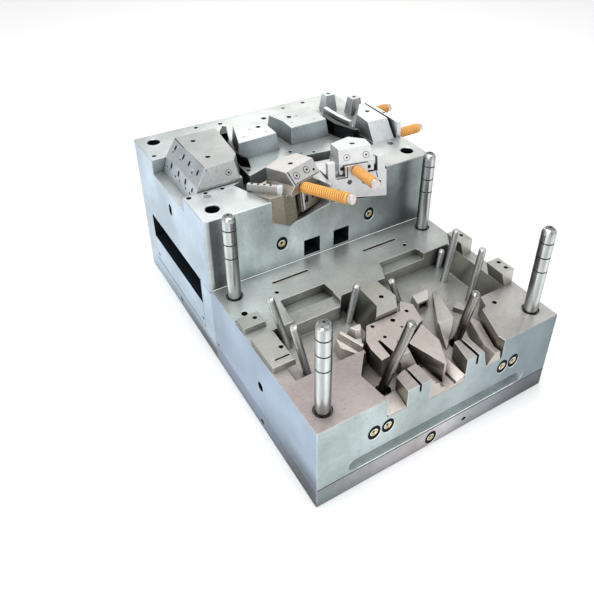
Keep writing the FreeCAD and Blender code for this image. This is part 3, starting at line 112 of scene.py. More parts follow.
def noise(tree, source, scale, detail=3.0, stretch=(1, 1, 1), rough=0.55):
    place = tree.nodes.new("ShaderNodeMapping")
    place.inputs["Scale"].default_value = stretch
    link(tree, source, place.inputs["Vector"])
    item = tree.nodes.new("ShaderNodeTexNoise")
    item.inputs["Scale"].default_value = scale
    item.inputs["Detail"].default_value = detail
    item.inputs["Roughness"].default_value = rough
    link(tree, place.outputs["Vector"], item.inputs["Vector"])
    return item.outputs["Fac"]


def mix(tree, kind, factor, a, b):
    item = tree.nodes.new("ShaderNodeMix")
    item.data_type = "RGBA"
    item.blend_type = kind
    for given, socket in ((factor, item.inputs[0]), (a, item.inputs[6]), (b, item.inputs[7])):
        feed(tree, given, socket)
    return item.outputs[2]


def maths(tree, kind, a, b=None, c=None, clamp=False):
    item = tree.nodes.new("ShaderNodeMath")
    item.operation = kind
    item.use_clamp = clamp
    for given, socket in zip((a, b, c), item.inputs):
        if given is not None:
            feed(tree, given, socket)
    return item.outputs[0]


def span(tree, source, low, high):
    """0 at low, 1 at high, clamped."""
    return maths(tree, "MULTIPLY_ADD", source, 1 / (high - low), -low / (high - low), clamp=True)


def split(tree, source):
    """The three parts of a vector."""
    item = tree.nodes.new("ShaderNodeSeparateXYZ")
    link(tree, source, item.inputs["Vector"])
    return item.outputs


def tint(tree, across, given):
    """One colour, or a ramp of colours from the left side of the mould to its right."""
    if isinstance(given, tuple):
        return given
    return ramp(tree, given, across)


def shaded(tree, tone, stops, source):
    """The tone times a ramp."""
    return mix(tree, "MULTIPLY", 1.0, tone, ramp(tree, stops, source))


# Steel: ground or polished, with grinding streaks and faint stains; worn edges get a painted highlight and
# hollows painted shade.
# Tops, left faces and front faces each have a tint, as each of them mirrors another side of the room: the
# left and front tints are painted reflection and painted light.

# How far a face is turned to the left or the front where that side's tint starts and where it is full
TURNED = (-0.15, -0.85)
# Where the painted reflection tint of an outer face takes over from the painted shade of walls inside: X on
# the left, depth in front
OUTER_LEFT = (-0.294, -0.298)
FRONT_SKIN = (0.006, 0.002)
# Distance behind the front face where the rear tint of a top starts and where it is full
REAR_PART = (0.10, 0.33)
# How fine the stains, smears, grinding marks and relief are
STAIN_SCALE = 7.0
SMEAR_SCALE = 9.0
SMEAR_STRETCH = (1.0, 1.0, 0.35)
MARK_SCALE = 90.0
RELIEF_SCALE = 420.0
# Colours of the painted shade at a dark foot and of the painted highlight on a worn edge
FOOT_SHADE = (0.02, 0.035, 0.05)
WORN_EDGE_GLINT = (0.90, 0.93, 0.93)
# Direction across which the painted reflection bands of a round part run, as shares of X and Y
BAND_SIDE = (0.8545, -0.5194)


def faces_tone(tree, spot, place, facing, top, left, front, face_y, inner, back, smear):
    """Tint of each side of a piece; the tints of its left and front faces are painted reflection and painted
    light.
    inner has the tints of left and front walls inside its pockets, which are painted shade, back the tint of
    its top towards the rear, and smear is how strong the marks on its front are."""
    across = span(tree, place["X"], -HALF_W, HALF_W)
    tone = tint(tree, across, top)
    if back is not None:
        to_rear = span(tree, place["Y"], face_y + REAR_PART[0], face_y + REAR_PART[1])
        tone = mix(tree, "MIX", to_rear, tone, tint(tree, across, back))
    # Painted reflection on left faces, and painted shade on left walls inside pockets
    if left is not None:
        shade = tint(tree, across, left)
        if inner is not None:
            shade = mix(tree, "MIX", span(tree, place["X"], *OUTER_LEFT), inner[0], shade)
        tone = mix(tree, "MIX", span(tree, facing["X"], *TURNED), tone, shade)
    # Painted reflection on front faces, and painted shade on front walls inside pockets
    if front is not None:
        shade = tint(tree, across, front)
        if smear:
            drift = noise(tree, spot, SMEAR_SCALE, 3.0, SMEAR_STRETCH, 0.6)
            shade = shaded(tree, shade, [(0.32, 1.0 - smear), (0.5, 1.0), (0.68, 1.0 + smear)], drift)
        if inner is not None:
            outside = span(tree, place["Y"], face_y + FRONT_SKIN[0], face_y + FRONT_SKIN[1])
            shade = mix(tree, "MIX", outside, inner[1], shade)
        tone = mix(tree, "MIX", span(tree, facing["Y"], *TURNED), tone, shade)
    return tone


def painted_foot_shade(tree, tone, place, facing, foot):
    """Painted shade: left face darker below foot's height, more so from its first Y to its second."""
    high, from_y, to_y = foot
    low = maths(tree, "MULTIPLY", span(tree, place["Z"], high, high * 0.45), span(tree, facing["X"], *TURNED))
    low = maths(tree, "MULTIPLY", low, span(tree, place["Y"], from_y, to_y))
    return mix(tree, "MIX", low, tone, FOOT_SHADE)


def painted_reflection(tree, tone, facing, bands):
    """Painted reflection: tones across a round part, as a polished bar mirrors a room."""
    turned = maths(tree, "ADD", maths(tree, "MULTIPLY", facing["X"], BAND_SIDE[0]),
                   maths(tree, "MULTIPLY", facing["Y"], BAND_SIDE[1]))
    return shaded(tree, tone, bands, span(tree, turned, -1.0, 1.0))


def steel(name, top, left=None, front=None, rough=0.34, metal=0.8, shine=0.5, grind=(1, 1, 1),
          streak=0.10, cloud=0.12, hollow=0.10, deep=0.045, edge=0.0009, glint=0.7,
          face_y=None, inner=None, back=None, smear=0.0, foot=None, bands=None, rise=None):
    """grind stretches the grinding marks. streak and cloud are how strong marks and stains are, hollow the
    light left in hollows of the depth deep, which is painted shade, edge and glint the width and brightness
    of the painted highlight on worn edges. rise is (low Z, high Z, tone at the low one)."""
    material = bpy.data.materials.new(name)
    material.use_nodes = True
    tree = material.node_tree
    shader = tree.nodes["Principled BSDF"]
    where = tree.nodes.new("ShaderNodeTexCoord")
    spot = where.outputs["Object"]
    place = split(tree, spot)
    facing = split(tree, where.outputs["Normal"])
    tone = faces_tone(tree, spot, place, facing, top, left, front, face_y, inner, back, smear)

    stains = noise(tree, spot, STAIN_SCALE, 4.0)
    tone = shaded(tree, tone, [(0.34, 1.0 - cloud), (0.52, 1.0), (0.7, 1.0 + cloud)], stains)
    marks = noise(tree, spot, MARK_SCALE, 4.0, grind, 0.6)
    tone = shaded(tree, tone, [(0.3, 1.0 - streak), (0.7, 1.0 + streak)], marks)
    if foot is not None:
        tone = painted_foot_shade(tree, tone, place, facing, foot)
    if bands is not None:
        tone = painted_reflection(tree, tone, facing, bands)
    if rise is not None:
        low_z, high_z, dark = rise
        tone = shaded(tree, tone, [(0.0, dark), (1.0, 1.0)], span(tree, place["Z"], low_z, high_z))

    # Painted shade: the colour darkens in hollows and corners that an occlusion node finds
    closed = tree.nodes.new("ShaderNodeAmbientOcclusion")
    closed.samples = 8
    closed.inputs["Distance"].default_value = deep
    openness = closed.outputs["AO"]
    tone = shaded(tree, tone, [(0.04, hollow * 0.3), (0.22, hollow * 1.5), (0.5, 0.55 + hollow), (0.92, 1.0)],
                  openness)

    # Painted highlight: worn edges, found from the bevelled normal, turn bright where they stand open
    soft = tree.nodes.new("ShaderNodeBevel")
    soft.samples = 6
    soft.inputs["Radius"].default_value = edge
    flat = tree.nodes.new("ShaderNodeNewGeometry")
    bend = tree.nodes.new("ShaderNodeVectorMath")
    bend.operation = "DOT_PRODUCT"
    link(tree, soft.outputs["Normal"], bend.inputs[0])
    link(tree, flat.outputs["Normal"], bend.inputs[1])
    on_edge = ramp(tree, [(0.84, glint), (0.985, 0.0)], bend.outputs["Value"])
    edge_glint = maths(tree, "MULTIPLY", on_edge, span(tree, openness, 0.45, 0.7))
    link(tree, mix(tree, "MIX", edge_glint, tone, WORN_EDGE_GLINT), shader.inputs["Base Color"])

    shader.inputs["Metallic"].default_value = metal
    gloss = maths(tree, "MULTIPLY", span(tree, openness, 0.1, 0.7), shine)
    link(tree, gloss, shader.inputs["Specular IOR Level"])
    spread = ramp(tree, [(0.3, max(0.02, rough * 0.8)), (0.7, min(1.0, rough * 1.2))], marks)
    link(tree, spread, shader.inputs["Roughness"])
    relief = tree.nodes.new("ShaderNodeBump")
    relief.inputs["Strength"].default_value = 0.04
    relief.inputs["Distance"].default_value = 0.0004
    link(tree, maths(tree, "ADD", marks, noise(tree, spot, RELIEF_SCALE, 2.0)), relief.inputs["Height"])
    link(tree, soft.outputs["Normal"], relief.inputs["Normal"])
    link(tree, relief.outputs["Normal"], shader.inputs["Normal"])
    return material


# Plates

# Left and front tints and their ramps are painted reflection and painted light, inner tints are painted shade
# in pockets, and foot is painted shade low on left faces
PLATE = steel(
    "plate_steel", [(0.0, (0.56, 0.60, 0.60)), (1.0, (0.52, 0.54, 0.53))], (0.38, 0.48, 0.57),
    [(0.0, (0.26, 0.27, 0.27)), (0.045, (0.30, 0.31, 0.31)), (0.10, (0.70, 0.80, 0.83)),
     (0.30, (0.66, 0.75, 0.76)), (0.50, (0.52, 0.58, 0.58)), (0.72, (0.38, 0.44, 0.44)),
     (0.88, (0.23, 0.27, 0.27)), (1.0, (0.33, 0.38, 0.38))],
    grind=(3, 3, 1), cloud=0.22, edge=0.0016, face_y=MOVING_FRONT, foot=(0.05, 0.6, 0.3),
    inner=((0.40, 0.43, 0.43), (0.42, 0.45, 0.45)), smear=0.30)
CAVITY = steel(
    "cavity_steel", [(0.0, (0.42, 0.36, 0.35)), (0.5, (0.44, 0.40, 0.38)), (1.0, (0.53, 0.52, 0.50))],
    (0.28, 0.36, 0.46),
    [(0.0, (0.38, 0.45, 0.45)), (0.06, (0.34, 0.40, 0.40)), (0.35, (0.39, 0.45, 0.45)),
     (0.6, (0.31, 0.36, 0.37)), (0.8, (0.19, 0.24, 0.27)), (1.0, (0.12, 0.16, 0.18))],
    grind=(1, 4, 1), cloud=0.20, edge=0.0020, glint=0.85, face_y=FIXED_FRONT, foot=(0.10, 0.05, -0.16),
    inner=((0.24, 0.225, 0.19), (0.40, 0.40, 0.375)), smear=0.14,
    back=[(0.0, (0.60, 0.64, 0.62)), (0.5, (0.56, 0.58, 0.56)), (1.0, (0.50, 0.52, 0.51))])
CLAMP = steel(
    "clamp_steel", (0.50, 0.50, 0.49), (0.16, 0.21, 0.29),
    [(0.0, (0.20, 0.24, 0.25)), (0.3, (0.44, 0.42, 0.43)), (0.45, (0.58, 0.54, 0.55)),
     (0.65, (0.36, 0.37, 0.39)), (0.85, (0.14, 0.16, 0.18)), (1.0, (0.05, 0.06, 0.07))],
    edge=0.0022, glint=0.85, face_y=FIXED_FRONT, foot=(0.08, 0.0, -0.16), smear=0.15)
# The groove's front tones turn near black towards its right end: painted shade in the niche there
GROOVE = steel(
    "groove_steel", (0.62, 0.66, 0.66), None,
    [(0.0, (0.38, 0.44, 0.44)), (0.4, (0.50, 0.56, 0.56)), (0.66, (0.42, 0.47, 0.48)),
     (0.80, (0.30, 0.35, 0.37)), (0.86, (0.05, 0.07, 0.08)), (0.94, (0.22, 0.26, 0.28))],
    hollow=0.8, deep=0.012, edge=0.0010)

# Inserts, slides and core blocks: tints of the top, and of the left faces and the front faces, which are
# painted reflection and painted light

INSERT = steel("insert_steel", (0.56, 0.50, 0.47), (0.30, 0.28, 0.24), (0.46, 0.42, 0.38),
               grind=(5, 1, 1), edge=0.0012)
CENTRE = steel("centre_steel", (0.48, 0.48, 0.44), (0.17, 0.17, 0.14), (0.50, 0.49, 0.44),
               grind=(1, 5, 1), edge=0.0012)
CUT = steel("cut_steel", (0.68, 0.64, 0.60), (0.50, 0.47, 0.41), (0.64, 0.61, 0.56),
            grind=(2, 2, 1), edge=0.0012)
SLIDE = steel("slide_steel", (0.44, 0.46, 0.455), (0.48, 0.53, 0.56), (0.58, 0.60, 0.60),
              grind=(3, 3, 1), cloud=0.22, edge=0.0012)
# A lighter copy of the slide steel for the far slide and its parts: painted sheen
SHEEN_SLIDE = steel("slide_steel_painted_sheen", (0.66, 0.69, 0.69), (0.52, 0.56, 0.58), (0.60, 0.63, 0.64),
            grind=(3, 3, 1), edge=0.0012)
BLOCK = steel("core_block_steel", (0.58, 0.62, 0.62), (0.28, 0.32, 0.33), (0.44, 0.50, 0.53),
              grind=(3, 3, 1), cloud=0.18, edge=0.0014, rise=(0.378, 0.415, 0.6))
TAN = steel("tan_steel", (0.54, 0.51, 0.46), (0.46, 0.42, 0.35), (0.28, 0.25, 0.20),
            grind=(1, 1, 3), streak=0.16, edge=0.0012)
NOSE = steel("nose_steel", (0.60, 0.59, 0.57), (0.44, 0.43, 0.41), (0.58, 0.58, 0.57),
             grind=(3, 3, 1), edge=0.0012)
BRIGHT = steel("bright_steel", (0.78, 0.80, 0.80), (0.66, 0.68, 0.69), (0.86, 0.87, 0.88),
               rough=0.4, streak=0.05, cloud=0.05)

# Round parts: painted reflection tones from their left side to their right

ROUND_REFLECTION_BANDS = [(0.0, 0.22), (0.08, 0.50), (0.20, 1.0), (0.36, 0.62), (0.50, 0.56), (0.66, 1.0), (0.80, 0.74),
               (0.92, 0.34), (1.0, 0.2)]
ROUND = steel("polished_round_steel", (0.60, 0.63, 0.63), rough=0.24, metal=1.0, grind=(1, 1, 0.15),
              streak=0.14, cloud=0.10, hollow=0.3, edge=0.0004, bands=ROUND_REFLECTION_BANDS)
PIN = steel("pin_steel", (0.66, 0.69, 0.68), rough=0.26, metal=0.7, grind=(1, 1, 0.12),
            streak=0.05, cloud=0.05, hollow=0.12, edge=0.0004, bands=ROUND_REFLECTION_BANDS)
# A darker copy of the pin steel for the front pins: painted shade, darker still towards their feet
SHADED_PIN = steel("pin_steel_painted_shade", (0.40, 0.39, 0.36), rough=0.26, metal=1.0, grind=(1, 1, 0.12),
                 streak=0.06, cloud=0.08, hollow=0.12, edge=0.0004, bands=ROUND_REFLECTION_BANDS,
                 rise=(0.12, 0.26, 0.16))

# Small and dark parts, and the colours of painted shade and painted highlight

GREY = steel("pillar_end_steel", (0.16, 0.16, 0.16), rough=0.5, metal=0.7, edge=0.0003, glint=0.1)
SCREW = steel("screw_steel", (0.10, 0.11, 0.12), rough=0.36, edge=0.0003)
# Near black for windows, bores, holes, slots and the ejector space: painted shade
HOLLOW_SHADE = steel("painted_hollow_shade", (0.008, 0.012, 0.016), rough=0.9, metal=0.0, shine=0.08, edge=0.0002, glint=0.0)
# Dark lines: seams, and painted shade in grooves, around screw heads and in sockets
LINE = steel("dark_seam_and_painted_shade", (0.02, 0.023, 0.025), rough=0.8, metal=0.0, shine=0.15, edge=0.0002, glint=0.0)
# Bright strips on edges and lips: painted highlight
GLEAM = steel("painted_edge_glint", WORN_EDGE_GLINT, rough=0.5, metal=0.3, hollow=0.9, edge=0.0002, glint=0.0)
BLACK = steel("black_core_steel", (0.016, 0.022, 0.021), rough=0.16, metal=0.9, edge=0.0010, glint=0.3)
BRASS = steel("brass", (0.80, 0.68, 0.42), rough=0.28, metal=0.9, hollow=0.5, edge=0.0005, glint=0.5)
ORANGE = steel("spring_orange", (0.66, 0.32, 0.075), rough=0.5, metal=0.0, cloud=0.14, hollow=0.5, deep=0.005,
               edge=0.0004, glint=0.0)
SILVER = steel("cap_steel", (0.70, 0.62, 0.58), rough=0.24, edge=0.0005)

LOOKS = (
    (PLATE, ("core_plate", "moving_clamp_plate", "spacer_block_front", "spacer_block_rear",
             "ejector_base_plate", "ejector_retainer_plate", "guide_bushes", "locating_ring", "stop_buttons",
             "support_pillars")),
    (CLAMP, ("fixed_clamp_plate",)),
    (CAVITY, ("cavity_plate",)),
    (INSERT, ("centre_insert", "ridge_insert", "ramp_inserts")),
    (CENTRE, ("centre_block", "right_heel_blocks", "left_heel_blocks")),
    (CUT, ("left_core_insert", "wedge_insert", "box_insert")),
    (SLIDE, ("left_slide", "left_slide_insert")),
    # The far slide and its parts take the lighter copy: painted sheen
    (SHEEN_SLIDE, ("right_slide", "right_slide_insert", "rear_bosses", "right_stop_plate")),
    (BLOCK, ("core_block_left", "core_block_right")),
    (TAN, ("front_left_slide", "front_left_stop_plate")),
    (NOSE, ("front_left_slide_insert",)),
    (BRIGHT, ("front_right_slide", "front_right_slide_insert", "front_right_stop_plate", "core_bar")),
    (ROUND, ("guide_pillar_1", "guide_pillar_2", "guide_pillar_3", "guide_pillar_4", "sprue_bush",
             "ejector_pins", "return_pins")),
    (PIN, ("left_angle_pins", "right_angle_pins", "centre_core_pins")),
    # The front angle pins take the darker copy: painted shade
    (SHADED_PIN, ("front_angle_pins",)),
    (SCREW, ("fixed_clamp_screws", "moving_clamp_screws", "ejector_screws")),
    (BLACK, ("curved_core_left", "curved_core_right")),
    (BRASS, ("fixed_couplings", "moving_couplings")),
    (SILVER, ("front_left_rod", "front_right_rod", "right_rods")),
    (ORANGE, ("front_left_spring", "front_right_spring", "right_springs")),
)
for look, names in LOOKS:
    for name in names:
        nodes[name].data.materials.clear()
        nodes[name].data.materials.append(look)


# Faces of a piece with another look: hollows and the pillars' grooves in painted shade, the long groove, and
# the pillars' ends

def dye(name, material, test):
    """Give the faces that pass the test another material; test takes a face's centre and normal."""
    item = nodes[name]
    item.data.materials.append(material)
    index = len(item.data.materials) - 1
    place = item.matrix_world
    for face in item.data.polygons:
        if test(place @ face.center, face.normal):
            face.material_index = index


def near_axis(c, x, y, radius):
    return math.hypot(c.x - x, c.y - y) < radius


def in_groove(c, n):
    behind = FIXED_FRONT + 0.0001 < c.y < FIXED_FRONT + GROOVE_DEEP + SKIN
    return behind and GROOVE_Z[0] - SKIN < c.z < GROOVE_Z[1] + SKIN


def in_window(c, n):
    behind = MOVING_FRONT + 0.0003 < c.y < MOVING_FRONT + WINDOW_DEEP + 0.001
    between = any(a - SKIN < c.x < b + SKIN for a, b in WINDOWS)
    return behind and between and WINDOW_Z[0] - SKIN < c.z < WINDOW_Z[1] + SKIN


def over_ejector(c, n):
    return n.z < -0.9 and c.z < CORE_Z + 0.002 and abs(c.y - PITCH) < 0.17


def in_lifting_hole(c, n):
    y, z, radius = LIFT_HOLE
    return 0.24 < abs(c.x) < 0.2995 and math.hypot(c.y - y, c.z - z) < radius


def in_eye(c, n):
    inside = EYE_Y[0] < c.y - PITCH < EYE_Y[1] and EYE_Z[0] < c.z < EYE_Z[1]
    return 0.265 < abs(c.x) < 0.2995 and inside


dye("cavity_plate", GROOVE, in_groove)
# Windows and the faces around the ejector space turn near black: painted shade
dye("core_plate", HOLLOW_SHADE, in_window)
dye("core_plate", HOLLOW_SHADE, over_ejector)
dye("ejector_retainer_plate", HOLLOW_SHADE, lambda c, n: n.z > 0.9)
for name, side in (("spacer_block_front", 1), ("spacer_block_rear", -1)):
    dye(name, HOLLOW_SHADE, lambda c, n, side=side: n.y * side > 0.9 and abs(c.y - PITCH) < 0.17)
# Pillars: grooves in the dark line colour, painted shade, and their ends in dark grey
for index, (px, py) in enumerate(PILLARS, start=1):
    name = "guide_pillar_%d" % index
    dye(name, LINE, lambda c, n, px=px, py=py: 0.30 < c.z < 0.395 and near_axis(c, px, py, PILLAR_R - 0.0004))
    dye(name, GREY, lambda c, n: c.z > PILLAR_TOP - 0.0015 and n.z > 0.6)
# Bores of the bushes, the lifting holes and the eyes turn near black: painted shade
for px, py in PILLARS:
    dye("guide_bushes", HOLLOW_SHADE,
        lambda c, n, px=px, py=py: abs(n.z) < 0.9 and near_axis(c, px, PITCH + py, PILLAR_R + 0.0008))
dye("cavity_plate", HOLLOW_SHADE, in_lifting_hole)
dye("core_plate", HOLLOW_SHADE, in_eye)


# Springs: smooth coils of rounded wire with ground ends, in place of the plain coils.
# The end turns climb by only a share of the wire, so that they lie nearly flat.

COIL_R = 0.013
FRONT_WIRE = 0.0049
SIDE_WIRE = 0.0047
STEPS_PER_TURN = 28
WIRE_SIDES = 12
END_TURNS = 0.9
END_CLIMB = 0.35


def squared(v):
    """A sine or cosine drawn out towards a square."""
    return math.copysign(abs(v) ** 0.5, v)


def coil_mesh(name, start, axis, length, wire, turns):
    """Coil of rounded square wire from start along axis."""
    axis = Vector(axis).normalized()
    side = axis.orthogonal().normalized()
    up = axis.cross(side)
    made = bmesh.new()
    angles = [k * 2 * math.pi / WIRE_SIDES for k in range(WIRE_SIDES)]
    ring = [(squared(math.cos(a)) * 0.98, squared(math.sin(a)) * 0.86) for a in angles]
    steps = int(turns * STEPS_PER_TURN)
    run = length - wire
    climb = wire * END_CLIMB
    rows = []
    for step in range(steps + 1):
        turn = turns * step / steps
        if turn < END_TURNS:
            along = turn / END_TURNS * climb
        elif turn > turns - END_TURNS:
            along = run - (turns - turn) / END_TURNS * climb
        else:
            along = climb + (turn - END_TURNS) / (turns - 2 * END_TURNS) * (run - 2 * climb)
        a = 2 * math.pi * turn
        out = side * math.cos(a) + up * math.sin(a)
        centre = Vector(start) + axis * (along + wire / 2) + out * (COIL_R - wire / 2)
        rows.append([made.verts.new(centre + (out * c + axis * q) * (wire / 2)) for c, q in ring])
    for last, row in zip(rows, rows[1:]):
        for k in range(WIRE_SIDES):
            j = (k + 1) % WIRE_SIDES
            made.faces.new((last[k], last[j], row[j], row[k]))
    made.faces.new(list(reversed(rows[0])))
    made.faces.new(rows[-1])
    bmesh.ops.recalc_face_normals(made, faces=made.faces)
    for face in made.faces:
        face.smooth = len(face.verts) == 4
    mesh = bpy.data.meshes.new(name)
    made.to_mesh(mesh)
    made.free()
    item = bpy.data.objects.new(name, mesh)
    scene.collection.objects.link(item)
    item.data.materials.append(ORANGE)
    return item


def front_place(base_x, azimuth):
    """Place of a point given in a front slide's own millimetres."""
    turn = Matrix.Rotation(math.radians(azimuth), 3, "Z") @ Matrix.Rotation(math.radians(SLIDE_CLIMB), 3, "X")
    origin = Vector((base_x * MM, MOVING_FRONT, SLIDE_BASE_Z))
    return lambda x, y, z: origin + turn @ (Vector((x, y, z)) * MM)


def way_out(at):
    """Direction in which a front slide points."""
    return (at(0, -1, 0) - at(0, 0, 0)).normalized()


# Where the front slides sit, the height of the rods in the slides' own frames in millimetres, and where the
# side coils start
LEFT_AT = front_place(-70, 20)
RIGHT_AT = front_place(90, -8)
ROD_Z = 88
SIDE_START_X = 0.2963

for node, joint, at, rod_x, face_y, free, turns in (
    ("front_left_spring", "front_left_slide_travel", LEFT_AT, 17, -4.3, 131.7, 23),
    ("front_right_spring", "front_right_slide_travel", RIGHT_AT, -2, -0.3, 87.7, 15),
):
    start = at(rod_x, face_y, ROD_Z)
    out = way_out(at)
    item = coil_mesh(node + "_coil", start, out, free * MM, FRONT_WIRE, turns)
    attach(item, "moving_half")
    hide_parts(node)
    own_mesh(item)
side_coils = []
for index, (y, z, free, turns) in enumerate(((-92, 388, 72, 13), (10, 412, 44, 8))):
    start = Vector((SIDE_START_X, PITCH + y * MM, z * MM))
    item = coil_mesh("right_spring_coil_%d" % index, start, (1, 0, 0), free * MM, SIDE_WIRE, turns)
    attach(item, "moving_half")
    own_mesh(item)
    side_coils.append(item)
for item in side_coils:
    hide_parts("right_springs")


# Small fittings on the pieces: screws, holes, seams and rims

def circle(radius, sides, tall=1.0):
    """Points round a circle, or round an upright ellipse."""
    angles = [2 * math.pi * k / sides for k in range(sides)]
    return [(radius * math.cos(a), radius * tall * math.sin(a)) for a in angles]


class Fittings:
    """Many small parts that ride together as one object. Sizes are in millimetres, places in metres."""

    def __init__(self, name, rides, materials):
        self.name, self.rides, self.materials = name, rides, materials
        self.made = bmesh.new()

    def plane(self, at, normal, up=UP):
        """Function from places on a face, and the height above it, to a new vertex."""
        n = Vector(normal).normalized()
        u = Vector(up).cross(n)
        if u.length < 0.01:
            u = Vector((0, 1, 0)).cross(n)
        u.normalize()
        v = n.cross(u)
        at = Vector(at)
        return lambda a, b, h: self.made.verts.new(at + (u * a + v * b + n * h) * MM)

    def prism(self, bottom, top, look):
        """Closed solid between two loops of vertices."""
        count = len(bottom)
        faces = [self.made.faces.new(top), self.made.faces.new(list(reversed(bottom)))]
        for k in range(count):
            j = (k + 1) % count
            faces.append(self.made.faces.new((bottom[k], bottom[j], top[j], top[k])))
        for face in faces:
            face.material_index = self.materials.index(look)

    def plate(self, at, normal, outline, low, high, look, up=UP):
        """Flat part with the given outline, from low to high above the face."""
        point = self.plane(at, normal, up)
        self.prism([point(a, b, low) for a, b in outline], [point(a, b, high) for a, b in outline], look)

    def disc(self, at, normal, radius, look, high=0.15, sides=20, low=-0.5):
        self.plate(at, normal, circle(radius, sides), low, high, look)

    def washer(self, at, normal, inner, outer, look, high=0.15, low=-0.5, tall=1.0):
        """Ring whose outer edge may be an upright ellipse."""
        sides = 24
        point = self.plane(at, normal)
        hole, rim = circle(inner, sides), circle(outer, sides, tall)
        loops = [[point(a, b, h) for a, b in outline] for outline, h in
                 ((hole, low), (rim, low), (rim, high), (hole, high))]
        for first, second in zip(loops, loops[1:] + loops[:1]):
            for k in range(sides):
                j = (k + 1) % sides
                face = self.made.faces.new((first[k], first[j], second[j], second[k]))
                face.material_index = self.materials.index(look)

    def seam(self, points, normal, width, look, high=0.4):
        """Thin line on a face, through a row of points."""
        n = Vector(normal).normalized()
        for a, b in zip(points, points[1:]):
            a, b = Vector(a), Vector(b)
            run = (b - a).normalized()
            side = n.cross(run).normalized() * (width / 2 * MM)
            reach = run * (width * 0.4 * MM)
            corners = (a - side - reach, b - side + reach, b + side + reach, a + side - reach)
            low = [self.made.verts.new(c - n * 0.4 * MM) for c in corners]
            top = [self.made.verts.new(c + n * high * MM) for c in corners]
            self.prism(low, top, look)

    def screw(self, at, normal, radius, look):
        """Flat-headed screw with a hexagon socket; the dark ring around its head and the socket are painted
        shade.
        """
        self.disc(at, normal, radius * 1.12, LINE, 0.10)
        self.disc(at, normal, radius * 0.94, look, 0.30)
        self.disc(at, normal, radius * 0.42, HOLLOW_SHADE, 0.40, 6)

    def slot(self, at, normal, width, tall):
        """Upright slot with round ends, drawn as a near-black plate: painted shade."""
        r = width / 2
        cap = [(r * math.cos(a), r * math.sin(a)) for a in (math.pi * k / 8 for k in range(9))]
        outline = [(x, y + tall / 2 - r) for x, y in cap] + [(-x, -y - tall / 2 + r) for x, y in cap]
        self.plate(at, normal, outline, -0.5, 0.5, HOLLOW_SHADE)

    def wall(self, a, b, behind, deep, low, high, look):
        """Upright block on the line from a to b, which are in millimetres, and deep behind it."""
        base = [a, b, b + behind * deep, a + behind * deep]
        bottom = [self.made.verts.new((p + Vector((0, 0, low))) * MM) for p in base]
        top = [self.made.verts.new((p + Vector((0, 0, high))) * MM) for p in base]
        self.prism(bottom, top, look)

    def done(self):
        mesh = bpy.data.meshes.new(self.name)
        bmesh.ops.recalc_face_normals(self.made, faces=self.made.faces)
        self.made.to_mesh(mesh)
        self.made.free()
        item = bpy.data.objects.new(self.name, mesh)
        scene.collection.objects.link(item)
        for material in self.materials:
            mesh.materials.append(material)
        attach(item, self.rides)


trees = {}


def touch(name, x, y, z):
    """Nearest spot on a piece to a point in millimetres, and the direction its face looks."""
    if name not in trees:
        mesh = nodes[name].data
        corners = [v.co for v in mesh.vertices]
        trees[name] = BVHTree.FromPolygons(corners, [list(p.vertices) for p in mesh.polygons])
    return trees[name].find_nearest(Vector((x, y, z)) * MM)[:2]


def slanted_plate(low_a, low_b, high_a):
    """Direction of a slanted plate, and a function from shares along and up it to a place."""
    along, upwards = low_b - low_a, high_a - low_a
    return along.cross(upwards).normalized(), lambda s, t: low_a + along * s + upwards * t


def left_slide_fittings():
    """Two rows of slots on the left face, drawn as plates in painted shade, dark lines along the edges and
    one screw in front.
    """
    work = Fittings("left_slide_fittings", "left_slide_unit", [LINE, HOLLOW_SHADE, SLIDE])
    for x, y, z in ((-245.9, 513.0, 422.7), (-246.3, 460.9, 422.4), (-246.6, 424.9, 421.9),
                    (-247.0, 374.9, 421.9)):
        work.slot(*touch("left_slide_insert", x, y, z), 6.5, 13)
    for x, y, z in ((-265.4, 500, 386.0), (-264.6, 455, 386.0), (-265.0, 412, 386.0)):
        work.slot(*touch("left_slide", x, y, z), 7, 15)
    work.slot(*touch("left_slide", -265.0, 372, 384.0), 6, 11)
    left_face = touch("left_slide_insert", -250, 440, 415)[1]
    work.seam([touch("left_slide_insert", -258, y, 400)[0] for y in (538, 348)], left_face, 2.2, LINE)
    work.seam([touch("left_slide_insert", -236.5, y, 436)[0] for y in (534, 361)], left_face, 2.0, LINE)
    front_face = touch("left_slide_insert", -190, 352, 415)[1]
    edge = [touch("left_slide_insert", x, 354, z)[0] for x, z in ((-233, 434), (-254, 400))]
    work.seam(edge, front_face, 2.0, LINE)
    work.screw(*touch("left_slide_insert", -182.3, 352.8, 414.9), 6.5, SLIDE)
    work.done()


def coupling_rims(name, plate, node, rides, face_y, places):
    """A seat in painted shade with a painted highlight on the lip below it, and a collar and a bore in
    painted shade on each coupling.
    """
    work = Fittings(name, rides, [BRASS, GLEAM, HOLLOW_SHADE])
    for x, z in places:
        cx, cz = x * MM, z * MM

        def in_seat(c, n):
            return face_y + 0.0003 < c.y < face_y + SEAT_DEEP and math.hypot(c.x - cx, c.z - cz) < SEAT_R

        # The seat turns near black: painted shade
        dye(plate, HOLLOW_SHADE, in_seat)
        # Painted highlight on the seat's lower lip, then painted shade in its mouth and in the bore
        work.washer((cx + 0.0012, face_y, cz - 0.0020), FORWARD, 9.5, 14.6, GLEAM, 0.08, tall=1.24)
        work.washer((cx, face_y, cz), FORWARD, 9.2, 14.6, HOLLOW_SHADE, 0.20, tall=1.24)
        end_y = touch(node, x, face_y / MM - 20, z)[0].y
        work.washer((cx, end_y, cz), FORWARD, 6.6, 9.0, BRASS, 1.6, 0.2)
        work.disc((cx, end_y, cz), FORWARD, 2.0, HOLLOW_SHADE, 0.15, 12)
    work.done()


